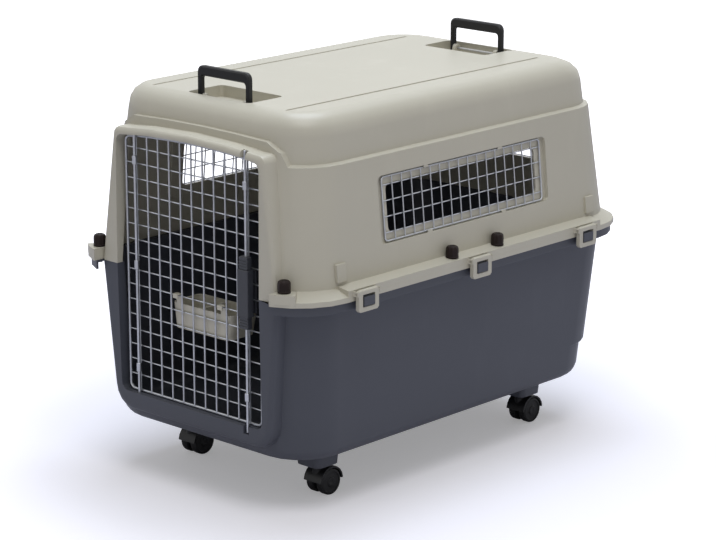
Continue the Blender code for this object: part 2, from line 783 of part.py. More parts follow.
def rim_wall_x(y, z):
    """Reach of the top shell's wall to the side at a place along it."""
    plan = top_plan(z)
    over = max(0.0, abs(y) - ((plan.rear if y > 0 else plan.front) - plan.corner))
    return plan.half_width - plan.corner + math.sqrt(plan.corner ** 2 - over ** 2)


def clip_ears(reach, place):
    """Two ears that carry a clip's trunnions, and the bores through them."""
    ears = []
    low = CLIP_PIVOT_Z - CLIP_TRUNNION_RADIUS - EAR_MARGIN
    high = CLIP_PIVOT_Z + CLIP_TRUNNION_RADIUS + EAR_MARGIN
    out = reach + CLIP_STAND_OFF + CLIP_TRUNNION_RADIUS + EAR_MARGIN
    inner = CLIP_WIDTH / 2 + RUNNING
    for side in (1, -1):
        span = sorted((place + side * inner, place + side * (inner + EAR_WALL)))
        ears.append(box((reach - 0.002, out), span, (low, high)))
    half = inner + EAR_WALL + RUNNING
    bore = cylinder((reach + CLIP_STAND_OFF, CLIP_PIVOT_Z), CLIP_TRUNNION_RADIUS + RUNNING,
                    place - half, place + half, 6, "Y")
    return ears, bore


def hook_half_width():
    """Half the width of the tub's hooks, which fit inside the clips' windows."""
    return CLIP_WIDTH / 2 - CLIP_CHEEK - HOOK_SIDE_GAP


def tub_hook(reach, place):
    """Hook of the tub that rises through the upper rim and fills a clip's window."""
    half = hook_half_width()
    out = reach + CLIP_STAND_OFF + CLIP_THICKNESS / 2 + HOOK_BEYOND_CLIP
    inner = reach - LOWER_RIM_INSET - SKIRT_WALL
    return box((inner, out), (place - half, place + half), (SEAM - HOOK_DROP, SEAM + HOOK_RISE))


def hook_slot(reach, place):
    """Slot in the upper rim that the hook rises through."""
    half = hook_half_width() + HOOK_SIDE_GAP
    inner = reach - LOWER_RIM_INSET - SKIRT_WALL - HOOK_SIDE_GAP
    return box((inner, FAR), (place - half, place + half), (SEAM - 0.01, SEAM + HOOK_RISE + 0.003))


# Windows

def window_matrix(angle):
    """Frame of a window: X out of the wall, Y along it and Z up it, at the window's centre."""
    if angle == 90.0:
        reach, slope, along = top_plan(WINDOW_Z).rear, TOP_END_SLOPE, 0.0
    else:
        reach, slope = top_plan(WINDOW_Z).half_width, TOP_SIDE_SLOPE
        along = WINDOW_Y if angle == 0.0 else -WINDOW_Y
    place = Matrix.Translation((reach, along, WINDOW_Z))
    tilt = Matrix.Rotation(-math.atan(slope), 4, "Y")
    return Matrix.Rotation(math.radians(angle), 4, "Z") @ place @ tilt


def grille_half_length(gaps):
    """Half length of a grille, to the centre of its frame wire."""
    return gaps * WINDOW_PITCH / 2


def grille_plane():
    """Depth of a grille's frame wire, whose cross wires lie on the floor of the recess."""
    return -WINDOW_RECESS_DEPTH + FIT + 2 * GRILLE_WIRE_RADIUS + LAYER_GAP / 2


def window_slab(outline_margin, gaps, x, radius):
    """A rounded block in a window's frame, larger than the opening by a margin."""
    half_length = grille_half_length(gaps) - WINDOW_FRAME_BEYOND + outline_margin[0]
    half_height = WINDOW_HALF_HEIGHT + outline_margin[1]
    outline = rounded_rectangle(-half_length, half_length, -half_height, half_height, radius, 3)
    return laid(prism(outline, x[0], x[1]), "X")


def window_tools(angle, gaps):
    """The inner thickening, the recess, the opening and the retaining lips of one window."""
    matrix = window_matrix(angle)
    recess = (WINDOW_FRAME_BEYOND + WINDOW_RECESS_END, WINDOW_FRAME_ABOVE + WINDOW_RECESS_MARGIN)
    pad = (recess[0] + WALL, recess[1] + WALL)
    floor = -WINDOW_RECESS_DEPTH
    slab = window_slab(pad, gaps, (floor - WALL, -WALL / 2), WINDOW_CORNER + WALL)
    pocket = window_slab(recess, gaps, (floor, 0.05), WINDOW_CORNER)
    opening = window_slab((0.0, 0.0), gaps, (-0.05, 0.05), WINDOW_CORNER)
    edge = WINDOW_HALF_HEIGHT + recess[1]
    front = grille_plane() + GRILLE_FRAME_RADIUS
    lips = []
    for row in (1, -1):
        for column in (1, -1):
            centre = column * WINDOW_PITCH * (gaps // 4)
            height = sorted((row * (edge + 0.001), row * (edge - LIP_OVERHANG)))
            along = (centre - LIP_HALF_WIDTH, centre + LIP_HALF_WIDTH)
            lips.append(box((front + FIT, -FIT), along, height))
    return [moved(mesh, matrix) for mesh in (slab, pocket, opening, *lips)]


def window_grille(angle, gaps):
    """Welded wire grille: a frame wire, uprights in front and cross wires behind."""
    half_length = grille_half_length(gaps)
    half_height = WINDOW_HALF_HEIGHT + WINDOW_FRAME_ABOVE
    corner = WINDOW_CORNER - WINDOW_RECESS_MARGIN
    outline = rounded_rectangle(-half_length, half_length, -half_height, half_height, corner, 2)
    frame = wire(outline, GRILLE_FRAME_RADIUS, GRILLE_FRAME_SIDES, closed=True)
    upright_y = -(GRILLE_WIRE_RADIUS + LAYER_GAP / 2)
    bars = []
    for column in range(1, gaps):
        x = column * WINDOW_PITCH - half_length
        bar = wire([(x, -half_height), (x, half_height)], GRILLE_WIRE_RADIUS, GRILLE_SIDES)
        bars.append(moved(bar, Matrix.Translation((0, upright_y, 0))))
    for row in range(WINDOW_ROWS):
        z = (row - (WINDOW_ROWS - 1) / 2) * WINDOW_ROW_PITCH
        bar = wire([(-half_length, z), (half_length, z)], GRILLE_WIRE_RADIUS, GRILLE_SIDES)
        bars.append(moved(bar, Matrix.Translation((0, -upright_y, 0))))
    grille = joined(frame, *bars)
    to_wall = Matrix.Translation((grille_plane(), 0, 0)) @ Matrix.Rotation(math.radians(90), 4, "Z")
    return moved(grille, window_matrix(angle) @ to_wall)


# Handles and trays

def tray_span(sign, margin=0.0):
    """Extent along Y of the tray of the front (-1) or rear (+1) handle."""
    outer = sign * (HANDLE_Y + TRAY_OUTBOARD + margin)
    inner = sign * (HANDLE_Y - TRAY_INBOARD - margin)
    return sorted((outer, inner))


def tray_block(sign, margin, bottom, top):
    """A rounded block the size of a tray with a margin round it."""
    half = TRAY_HALF_WIDTH + margin
    low, high = tray_span(sign, margin)
    return prism(rounded_rectangle(-half, half, low, high, TRAY_CORNER + margin, 3), bottom, top)


def handle_ears(sign):
    """Two upright ears in a tray, inboard of the handle's legs."""
    outer = HANDLE_HALF_WIDTH - HANDLE_LEG - RUNNING
    radius = HANDLE_PIN_RADIUS + HANDLE_EAR_MARGIN
    centre = (sign * HANDLE_Y, PIVOT_Z)
    outline = arc(centre, radius, 0, 180, 5)
    foot = ROOF_HEIGHT - TRAY_DEPTH - WALL / 2
    outline += [(centre[0] - radius - HANDLE_EAR_FLARE, foot), (centre[0] + radius + HANDLE_EAR_FLARE, foot)]
    ears = []
    for side in (1, -1):
        span = sorted((side * outer, side * (outer - HANDLE_EAR)))
        ears.append(laid(prism(outline, span[0], span[1]), "X"))
    return ears


def handle(sign):
    """Bail handle: two legs and a grip bar, bored for its pin."""
    half = HANDLE_HALF_WIDTH
    inner = half - HANDLE_LEG
    top = PIVOT_Z + HANDLE_RISE
    foot = PIVOT_Z - HANDLE_DEPTH / 2
    small = HANDLE_CORNER / 2
    outline = [(half, foot)] + arc((half - HANDLE_CORNER, top - HANDLE_CORNER), HANDLE_CORNER, 0, 90, 4)
    outline += arc((HANDLE_CORNER - half, top - HANDLE_CORNER), HANDLE_CORNER, 90, 180, 4)
    outline += [(-half, foot), (-inner, foot)]
    under = top - HANDLE_BAR
    outline += arc((small - inner, under - small), small, 180, 90, 3)
    outline += arc((inner - small, under - small), small, 90, 0, 3)
    outline += [(inner, foot)]
    outer_y = sign * (HANDLE_Y + HANDLE_DEPTH / 2 + HANDLE_OUTBOARD)
    inner_y = sign * (HANDLE_Y - HANDLE_DEPTH / 2 + HANDLE_OUTBOARD)
    mesh = laid(prism(outline, outer_y, inner_y), "Y")
    edges = [edge for edge in mesh.edges if is_long_edge(edge)]
    bmesh.ops.bevel(mesh, geom=edges, offset=HANDLE_CHAMFER, segments=1, affect="EDGES")
    bore = cylinder((sign * HANDLE_Y, PIVOT_Z), HANDLE_PIN_RADIUS + RUNNING, -FAR, FAR, 8, "X")
    return cut(mesh, bore)


def is_long_edge(edge):
    """True for the handle's outline edges, which lie in one of its two flat faces."""
    first, second = edge.verts
    return abs(first.co.y - second.co.y) < 1e-6


def handle_pin(sign):
    """Steel pin through a handle's legs and the tray's ears."""
    reach = HANDLE_HALF_WIDTH - RUNNING
    return cylinder((sign * HANDLE_Y, PIVOT_Z), HANDLE_PIN_RADIUS, -reach, reach, 8, "X")


# The two shells

def bottom_shell():
    """Tub with its rim, doorway sill and jambs, hooks, pods and bores."""
    plate = LOWER_RIM_TOP - WALL
    skirt = rim_plan(LOWER_RIM_INSET)
    rings = tub_side(0.0)
    rings.append(tub_plan(plate).at(plate))
    rings.append(skirt.inset(SKIRT_WALL).at(plate))
    rings.append(skirt.inset(SKIRT_WALL).at(LOWER_RIM_TOP - LOWER_RIM_SKIRT))
    rings.append(skirt.at(LOWER_RIM_TOP - LOWER_RIM_SKIRT))
    rings.append(skirt.at(LOWER_RIM_TOP))
    mesh = from_rings(rings)
    mesh = cut(mesh, rim_gap())
    mesh = joined(mesh, surround(False))
    cavity = tub_side(WALL)
    cavity.append(tub_plan(SEAM).inset(WALL).at(SEAM))
    cavity.append(tub_plan(SEAM).inset(WALL).at(SEAM + OVERRUN))
    mesh = cut(mesh, from_rings(cavity))
    mesh = joined(mesh, *pods(), *[on_side(turn, tub_hook(reach, place))
                                   for _, turn, reach, place in clip_places()])
    doorway = laid(prism(doorway_outline(), -FAR, -SURROUND_FACE + SURROUND_DEPTH), "Y")
    mesh = cut(mesh, doorway, *bolt_bores(), *stem_bores())
    return cut(mesh, *front_bores(False))


def top_shell():
    """Upper shell with rim, rails, door header, windows, trays, ears and bores."""
    wall = top_plan(SEAM + RAIL_RISE)
    low_wall = top_plan(SEAM + RIM_RISE)
    rings = [rim_plan().at(SEAM), rim_plan().at(SEAM + RIM_LIP), low_wall.at(SEAM + RIM_RISE)]
    mesh = from_rings(rings + top_side(0.0))
    ledge = header_ledge()
    mesh = joined(mesh, side_rail(RIM_HALF_WIDTH, SIDE_RAIL_HALF_LENGTH, wall.half_width),
                  on_side(180.0, side_rail(RIM_HALF_WIDTH, SIDE_RAIL_HALF_LENGTH, wall.half_width)),
                  on_side(90.0, side_rail(RIM_HALF_LENGTH, REAR_RAIL_HALF_LENGTH, wall.rear)),
                  ledge, *corner_pads(), *wall_pads())
    mesh = cut(mesh, rim_gap())
    mesh = joined(mesh, surround(True))
    inner = top_plan(SEAM).inset(WALL)
    cavity = [inner.at(SEAM - OVERRUN), inner.at(SEAM)] + top_side(WALL)
    mesh = cut(mesh, from_rings(cavity))
    windows = [window_tools(0.0, SIDE_WINDOW_GAPS), window_tools(180.0, SIDE_WINDOW_GAPS),
               window_tools(90.0, REAR_WINDOW_GAPS)]
    trays = [tray_block(sign, WALL, ROOF_HEIGHT - TRAY_DEPTH - WALL, ROOF_HEIGHT - WALL * 0.85)
             for sign in (-1, 1)]
    mesh = joined(mesh, *trays, *[tools[0] for tools in windows])
    doorway = laid(prism(doorway_outline(), -FAR, -SURROUND_FACE + SURROUND_DEPTH), "Y")
    hollows = [tray_block(sign, 0.0, ROOF_HEIGHT - TRAY_DEPTH, FAR * 2) for sign in (-1, 1)]
    mesh = cut(mesh, doorway, *[tools[1] for tools in windows], *roof_grooves(), *knob_seats(), *hollows)
    lips = [lip for tools in windows for lip in tools[3:]]
    ears = [clip_ears(reach, place) for _, turn, reach, place in clip_places()]
    turned_ears = []
    ear_bores = []
    for (_, turn, _, _), (pair, bore) in zip(clip_places(), ears):
        turned_ears += [on_side(turn, ear) for ear in pair]
        ear_bores.append(on_side(turn, bore))
    mesh = joined(mesh, *lips, *turned_ears, *handle_ears(-1), *handle_ears(1))
    pins = [cylinder((sign * HANDLE_Y, PIVOT_Z), HANDLE_PIN_RADIUS + FIT, -HANDLE_HALF_WIDTH,
                     HANDLE_HALF_WIDTH, 8, "X") for sign in (-1, 1)]
    slots = [on_side(turn, hook_slot(reach, place)) for _, turn, reach, place in clip_places()]
    return cut(mesh, *[tools[2] for tools in windows], *front_bores(True), *bolt_bores(),
               *ear_bores, *slots, *pins)


def header_ledge():
    """Raised, slightly arched part of the ledge over the doorway, inside the wall's own outline."""
    foot_z = LEDGE_HEIGHT - 2 * OVERRUN
    low = foot_z - OVERRUN
    high = HEADER_LEDGE_HEIGHT + OVERRUN
    body = []
    for height in (low, high):
        plan = top_plan(LEDGE_HEIGHT - LEDGE_FALL)
        body.append(plan.inset(TOP_SIDE_SLOPE * (height - LEDGE_HEIGHT)).at(height))
    half = HEADER_LEDGE_HALF_WIDTH
    foot = half + HEADER_LEDGE_RUN
    shoulder = HEADER_LEDGE_HEIGHT - HEADER_LEDGE_DROP
    bend_x = half + HEADER_LEDGE_BEND[0] * HEADER_LEDGE_RUN
    bend_z = LEDGE_HEIGHT + HEADER_LEDGE_BEND[1] * (shoulder - LEDGE_HEIGHT)
    outline = [(-foot, foot_z), (foot, foot_z), (foot, LEDGE_HEIGHT), (bend_x, bend_z), (half, shoulder)]
    outline += [(half / 2, HEADER_LEDGE_HEIGHT - HEADER_LEDGE_DROP / 4), (0.0, HEADER_LEDGE_HEIGHT)]
    outline += [(-half / 2, HEADER_LEDGE_HEIGHT - HEADER_LEDGE_DROP / 4), (-half, shoulder)]
    outline += [(-bend_x, bend_z), (-foot, LEDGE_HEIGHT)]
    block = laid(prism(outline, -FAR, -TOP_FRONT + TOP_CORNER), "Y")
    return combined(from_rings(body), block, "INTERSECT")


def roof_grooves():
    """Two shallow grooves along the roof."""
    base = top_plan(SHOULDER_HEIGHT)
    span = (SHOULDER_FRONT - base.front + ROOF_GROOVE_FRONT_MARGIN,
            base.rear - SHOULDER_REAR - ROOF_GROOVE_REAR_MARGIN)
    grooves = []
    for sign in (1, -1):
        centre = sign * ROOF_GROOVE_X
        across = (centre - ROOF_GROOVE_WIDTH / 2, centre + ROOF_GROOVE_WIDTH / 2)
        grooves.append(box(across, span, (ROOF_HEIGHT - ROOF_GROOVE_DEPTH, FAR * 2)))
    return grooves


def front_bores(above):
    """Closed socket of the hinge rod and open notch of a latch rod, in the header or the sill."""
    radius = HINGE_ROD_RADIUS + RUNNING
    across = (LATCH_X - NOTCH_HALF_WIDTH, LATCH_X + NOTCH_HALF_WIDTH)
    depth = (-FAR, LATCH_ROD_Y + LATCH_ROD_RADIUS + NOTCH_BACK_GAP)
    if above:
        edge = doorway_top(HINGE_X)
        levels = (edge - OVERRUN, edge + HINGE_SOCKET)
        notch_levels = (edge - OVERRUN, edge + LATCH_REACH + NOTCH_END_GAP)
    else:
        edge = DOORWAY_BOTTOM
        levels = (edge - HINGE_SOCKET, edge + OVERRUN)
        notch_levels = (edge - LATCH_REACH - NOTCH_END_GAP, edge + OVERRUN)
    socket = cylinder((HINGE_X, HINGE_ROD_Y), radius, levels[0], levels[1], 10)
    return [socket, box(across, depth, notch_levels)]


def bolt_bores():
    """Bores of the bolts through both rims."""
    bores = []
    for _, place in knob_places():
        bores.append(cylinder(place, BOLT_RADIUS + FIT, SEAM - 2 * OVERRUN, KNOB_SEAT_Z + OVERRUN, 6))
    return bores


def knob_seats():
    """Flat seats sunk into the rails under the side knobs."""
    seats = []
    for label, place in knob_places():
        if "corner" not in label:
            seats.append(cylinder(place, KNOB_RADIUS + KNOB_SEAT_MARGIN, KNOB_SEAT_Z,
                                  SEAM + RAIL_RISE + OVERRUN, 10))
    return seats


# Casters

def pod_places():
    """Name and place of each pod's stem."""
    places = []
    for label, y in (("front", POD_FRONT_Y), ("rear", POD_REAR_Y)):
        for side, sign in (("right", 1), ("left", -1)):
            places.append(("%s_%s" % (label, side), (sign * POD_X, y)))
    return places


def pods():
    """Moulded pods under the tub that carry the casters."""
    blocks = []
    for _, (x, y) in pod_places():
        rings = []
        for half, height in ((POD_HALF, POD_FOOT), (POD_HALF + POD_TAPER, FLOOR_UNDERSIDE + WALL / 2)):
            outline = rounded_rectangle(x - half, x + half, y - half, y + half, POD_CORNER, 3)
            rings.append([(u, v, height) for u, v in outline])
        blocks.append(from_rings(rings))
    return blocks


def stem_bores():
    """Sockets of the caster stems in the pods."""
    bores = []
    for _, place in pod_places():
        top = POD_FOOT + STEM_DEPTH + FIT
        bores.append(cylinder(place, STEM_RADIUS + FIT, POD_FOOT - OVERRUN, top, 8))
    return bores


def collar_foot():
    """Height of the underside of a stem's collar."""
    return POD_FOOT - FIT - COLLAR_HEIGHT


def caster_stem(place):
    """Stem pressed into the pod, with a collar and the spigot that the hood swivels on."""
    foot = collar_foot()
    collar_top = POD_FOOT - FIT
    profile = [(0.0, foot - SPIGOT_LENGTH), (SPIGOT_RADIUS, foot - SPIGOT_LENGTH), (SPIGOT_RADIUS, foot)]
    profile += [(COLLAR_RADIUS, foot), (COLLAR_RADIUS, collar_top), (STEM_RADIUS, collar_top)]
    profile += [(STEM_RADIUS, POD_FOOT + STEM_DEPTH), (0.0, POD_FOOT + STEM_DEPTH)]
    return turned(profile, 8, "Z", place)


def caster_hood(place):
    """Swivelling hood over the wheels, with a central web, a stem boss and the axle."""
    x, y = place
    axle_y = y + CASTER_TRAIL
    outer = WHEEL_RADIUS + HOOD_GAP + HOOD_WALL
    top = collar_foot() - RUNNING
    outline = arc((axle_y, AXLE_Z), outer, 5, 175, 9)
    outline += arc((axle_y, AXLE_Z), AXLE_RADIUS + HOOD_FOOT, 200, 340, 3)
    half = WHEEL_OUTER_X + HOOD_BEYOND_WHEEL
    mesh = laid(prism(outline, x - half, x + half), "X")
    boss = cylinder(place, HOOD_BOSS_RADIUS, AXLE_Z + HOOD_BOSS_RISE, top, 10)
    mesh = joined(mesh, boss)
    wells = []
    for side in (1, -1):
        span = sorted((x + side * HOOD_WEB / 2, x + side * FAR / 10))
        wells.append(cylinder((axle_y, AXLE_Z), WHEEL_RADIUS + HOOD_GAP, span[0], span[1], 14, "X"))
    spigot = cylinder(place, SPIGOT_RADIUS + RUNNING, collar_foot() - SPIGOT_LENGTH - FIT, FAR, 8)
    mesh = cut(mesh, *wells, spigot)
    reach = WHEEL_OUTER_X - HUB_CAP - RUNNING
    axle = cylinder((axle_y, AXLE_Z), AXLE_RADIUS, x - reach, x + reach, 8, "X")
    return joined(mesh, axle)


def caster_wheel(place, side):
    """One wheel of a twin caster, dished outside, with a blind bore for the axle."""
    x, y = place
    rim = WHEEL_RADIUS - WHEEL_EDGE
    bore = AXLE_RADIUS + RUNNING
    inner, outer = WHEEL_INNER_X, WHEEL_OUTER_X
    profile = [(0.0, outer), (WHEEL_HUB_RADIUS, outer), (WHEEL_HUB_RADIUS + WHEEL_DISH, outer - WHEEL_DISH)]
    profile += [(rim - WHEEL_TREAD_EDGE, outer - WHEEL_DISH), (rim - WHEEL_DISH, outer)]
    profile += [(WHEEL_RADIUS, outer - WHEEL_EDGE), (WHEEL_RADIUS, inner)]
    profile += [(bore, inner), (bore, outer - HUB_CAP), (0.0, outer - HUB_CAP)]
    profile = [(radius, side * height) for radius, height in profile]
    return turned(profile, WHEEL_STEPS, "X", (y + CASTER_TRAIL, AXLE_Z), x)


# Knobs, bolts and clips

def knob(place):
    """Knob nut with a blind bore."""
    bore = BOLT_RADIUS + FIT
    top = BOLT_SHAFT_IN_KNOB + FIT
    profile = [(0.0, top), (bore, top), (bore, 0.0), (KNOB_RADIUS, 0.0)]
    profile += [(KNOB_RADIUS, KNOB_HEIGHT * 0.72), (KNOB_RADIUS * 0.8, KNOB_HEIGHT), (0.0, KNOB_HEIGHT)]
    return turned(profile, 8, "Z", place, KNOB_SEAT_Z + FIT)


def bolt(place):
    """Bolt from under the tub's rim into the knob nut."""
    top = LOWER_RIM_TOP - WALL - FIT
    end = KNOB_SEAT_Z + FIT + BOLT_SHAFT_IN_KNOB
    profile = [(0.0, top - BOLT_HEAD_HEIGHT), (BOLT_HEAD_RADIUS, top - BOLT_HEAD_HEIGHT)]
    profile += [(BOLT_HEAD_RADIUS, top), (BOLT_RADIUS, top), (BOLT_RADIUS, end), (0.0, end)]
    return turned(profile, 6, "Z", place)


def clip(reach, place):
    """Square loop with trunnions, hanging in front of the rim."""
    x = reach + CLIP_STAND_OFF
    top = CLIP_PIVOT_Z + CLIP_TOP_ABOVE_PIVOT
    bottom = top - CLIP_HEIGHT
    half = CLIP_WIDTH / 2
    outline = rounded_rectangle(place - half, place + half, bottom, top, CLIP_CORNER, 1)
    loop = laid(prism(outline, x - CLIP_THICKNESS / 2, x + CLIP_THICKNESS / 2), "X")
    edges = [edge for edge in loop.edges if is_top_edge(edge, top)]
    bmesh.ops.bevel(loop, geom=edges, offset=CLIP_CHAMFER, segments=1, affect="EDGES")
    window = box((x - 0.02, x + 0.02), (place - half + CLIP_CHEEK, place + half - CLIP_CHEEK),
                 (bottom + CLIP_BAR, top - CLIP_BAR))
    loop = cut(loop, window)
    end = half + CLIP_TRUNNION_LENGTH
    trunnion = cylinder((x, CLIP_PIVOT_Z), CLIP_TRUNNION_RADIUS, place - end, place + end, 6, "Y")
    return joined(loop, trunnion)


def is_top_edge(edge, top):
    """True for the two long edges along a clip's top."""
    first, second = edge.verts
    return min(first.co.z, second.co.z) > top - 1e-6 and abs(first.co.x - second.co.x) < 1e-6


# Door, latch and bowl

def door_row(row):
    """Height of a cross wire of the door."""
    return DOOR_BOTTOM + row * DOOR_ROW_PITCH


def knuckle(x, rod_y, height, centre, bore):
    """A small block that joins an upright wire to a rod in front of it."""
    half = bore + KNUCKLE_WALL
    block = box((x - half, x + half), (rod_y - half, UPRIGHT_Y), (centre - height / 2, centre + height / 2))
    hole = cylinder((x, rod_y), bore, centre - height, centre + height, 8)
    return block, hole


def door_panel():
    """Welded wire door: frame, uprights in front, cross wires behind, knuckles and guides."""
    half = DOOR_HALF_WIDTH
    corner = DOOR_FRAME_CORNER
    end = doorway_top(half) - DOOR_TOP_GAP
    path = arc((half - corner, DOOR_BOTTOM + corner), corner, 270, 360, 2)
    path += arc((half - corner, end - corner), corner, 0, 80, 2)
    for share in (ARCH_BEND, 0.0, -ARCH_BEND):
        path.append((share * half, doorway_top(share * half) - DOOR_TOP_GAP))
    path += arc((corner - half, end - corner), corner, 100, 180, 2)
    path += arc((corner - half, DOOR_BOTTOM + corner), corner, 180, 270, 2)
    frame = wire(path, DOOR_FRAME_RADIUS, WIRE_SIDES, closed=True)
    frame = moved(frame, Matrix.Translation((0, DOOR_Y, 0)))
    bars = []
    for column in range(1, DOOR_COLUMNS):
        x = column * DOOR_PITCH - half
        top = doorway_top(x) - DOOR_TOP_GAP
        bar = wire([(x, DOOR_BOTTOM), (x, top)], DOOR_UPRIGHT_RADIUS, WIRE_SIDES)
        bars.append(moved(bar, Matrix.Translation((0, UPRIGHT_Y, 0))))
    for row in range(1, DOOR_ROWS):
        bar = wire([(-half, door_row(row)), (half, door_row(row))], DOOR_CROSS_RADIUS, WIRE_SIDES)
        bars.append(moved(bar, Matrix.Translation((0, CROSS_Y, 0))))
    door = joined(frame, *bars)
    blocks = []
    holes = []
    span = doorway_top(HINGE_X) - DOORWAY_BOTTOM
    for share in KNUCKLE_LEVELS:
        level = DOORWAY_BOTTOM + share * span
        block, hole = knuckle(HINGE_X, HINGE_ROD_Y, KNUCKLE_HEIGHT, level, HINGE_ROD_RADIUS + FIT)
        blocks.append(block)
        holes.append(hole)
    for share in GUIDE_LEVELS:
        level = DOORWAY_BOTTOM + share * span
        block, hole = knuckle(LATCH_X, LATCH_ROD_Y, GUIDE_HEIGHT, level, LATCH_ROD_RADIUS + RUNNING)
        blocks.append(block)
        holes.append(hole)
    return cut(joined(door, *blocks), *holes)


def hinge_rod():
    """Rod that the door turns on, with its ends in the header and the sill."""
    low = DOORWAY_BOTTOM - HINGE_SOCKET + FIT
    high = doorway_top(HINGE_X) + HINGE_SOCKET - RUNNING
    return cylinder((HINGE_X, HINGE_ROD_Y), HINGE_ROD_RADIUS, low, high, 10)


def latch_front():
    """Front face of the latch housing."""
    return DOOR_FRONT_Y - FIT - LATCH_DEPTH


def latch_cavity(gap):
    """Extents across and along the depth of the housing's cavity, drawn in by a gap."""
    half = LATCH_WIDTH / 2 - LATCH_SIDE_WALL - gap
    return (LATCH_X - half, LATCH_X + half), (latch_front() + LATCH_FRONT_WALL + gap,
                                              DOOR_FRONT_Y - FIT - LATCH_BACK_WALL - gap)


def latch_body():
    """Housing open at both ends, for the sliding tabs."""
    across = (LATCH_X - LATCH_WIDTH / 2, LATCH_X + LATCH_WIDTH / 2)
    depth = (latch_front(), DOOR_FRONT_Y - FIT)
    mesh = box(across, depth, (LATCH_BOTTOM, LATCH_TOP))
    front = [edge for edge in mesh.edges if all(vert.co.y < latch_front() + 1e-6 for vert in edge.verts)]
    bmesh.ops.bevel(mesh, geom=front, offset=LATCH_CHAMFER, segments=1, affect="EDGES")
    inner_across, inner_depth = latch_cavity(0.0)
    return cut(mesh, box(inner_across, inner_depth, (LATCH_BOTTOM - OVERRUN, LATCH_TOP + OVERRUN)))


def latch_plate():
    """Plate behind the mesh that the housing is screwed to."""
    across = (LATCH_X - LATCH_WIDTH / 2, LATCH_X + LATCH_WIDTH / 2)
    front = CROSS_Y + DOOR_CROSS_RADIUS + FIT
    levels = (LATCH_BOTTOM + LATCH_PLATE_MARGIN, LATCH_TOP - LATCH_PLATE_MARGIN)
    return box(across, (front, front + LATCH_PLATE), levels)


def latch_tab(direction):
    """Finger tab that slides in the housing, grooved for grip; direction is +1 for the upper."""
    edge = LATCH_TOP if direction > 0 else LATCH_BOTTOM
    across, depth = latch_cavity(RUNNING)
    inner = edge - direction * TAB_ENTRY
    outer = edge + direction * (TAB_LENGTH - TAB_ENTRY)
    mesh = box(across, depth, sorted((inner, outer)))
    wide = (across[0] - OVERRUN, across[1] + OVERRUN)
    grooves = []
    for i in range(TAB_GROOVES):
        level = edge + direction * (TAB_GROOVE_START + TAB_GROOVE_PITCH * i)
        span = (level - TAB_GROOVE_WIDTH / 2, level + TAB_GROOVE_WIDTH / 2)
        grooves.append(box(wide, (-FAR, depth[0] + TAB_GROOVE_DEPTH), span))
    bore = cylinder((LATCH_X, LATCH_ROD_Y), LATCH_ROD_RADIUS + FIT,
                    *sorted((inner + direction * TAB_FLOOR, outer + direction * OVERRUN)), 10)
    return cut(mesh, bore, *grooves)


def latch_rod(direction):
    """Rod from inside its tab to the notch in the header or the sill."""
    edge = LATCH_TOP if direction > 0 else LATCH_BOTTOM
    start = edge - direction * (TAB_ENTRY - TAB_FLOOR - FIT)
    end = doorway_top(HINGE_X) + LATCH_REACH if direction > 0 else DOORWAY_BOTTOM - LATCH_REACH
    return cylinder((LATCH_X, LATCH_ROD_Y), LATCH_ROD_RADIUS, *sorted((start, end)), 10)


def bowl():
    """Two-compartment bowl with hooks over a cross wire of the door."""
    front = CROSS_Y + DOOR_CROSS_RADIUS + BOWL_DOOR_GAP
    centre_x = BOWL_COLUMN * DOOR_PITCH
    wire_top = door_row(BOWL_HOOK_ROW) + DOOR_CROSS_RADIUS
    rim = door_row(BOWL_HOOK_ROW) - BOWL_RIM_DROP
    bottom = rim - BOWL_HEIGHT
    rings = []
    for inset, height in ((BOWL_DRAFT, bottom), (0.0, rim)):
        outline = rounded_rectangle(centre_x - BOWL_HALF_WIDTH + inset, centre_x + BOWL_HALF_WIDTH - inset,
                                    front, front + BOWL_LENGTH - inset, BOWL_CORNER, 3)
        rings.append([(u, v, height) for u, v in outline])
    mesh = from_rings(rings)
    cups = []
    for side in (1, -1):
        rings = []
        for inset, height in ((BOWL_DRAFT, bottom + BOWL_WALL), (-BOWL_DRAFT * 0.1, rim + OVERRUN)):
            edges = sorted((centre_x + side * (BOWL_WALL + inset / 2),
                            centre_x + side * (BOWL_HALF_WIDTH - BOWL_WALL - inset)))
            outline = rounded_rectangle(edges[0], edges[1], front + BOWL_WALL + inset / 3,
                                        front + BOWL_LENGTH - BOWL_WALL - inset, BOWL_CORNER - BOWL_WALL, 3)
            rings.append([(u, v, height) for u, v in outline])
        cups.append(from_rings(rings))
    mesh = cut(mesh, *cups)
    under = wire_top + FIT
    over = under + BOWL_HOOK_THICKNESS
    lip_back = DOOR_FRONT_Y - FIT
    lip_front = lip_back - BOWL_HOOK_THICKNESS
    section = [(front, rim - BOWL_HOOK_LIP), (front + BOWL_HOOK_THICKNESS, rim - BOWL_HOOK_LIP)]
    section += [(front + BOWL_HOOK_THICKNESS, over), (lip_front, over), (lip_front, over - BOWL_HOOK_LIP)]
    section += [(lip_back, over - BOWL_HOOK_LIP), (lip_back, under), (front, under)]
    hooks = []
    for side in (1, -1):
        centre = centre_x + side * BOWL_HOOK_COLUMNS * DOOR_PITCH
        span = (centre - BOWL_HOOK_WIDTH / 2, centre + BOWL_HOOK_WIDTH / 2)
        hooks.append(laid(prism(section, span[0], span[1]), "X"))
    return joined(mesh, *hooks)


# Assembly

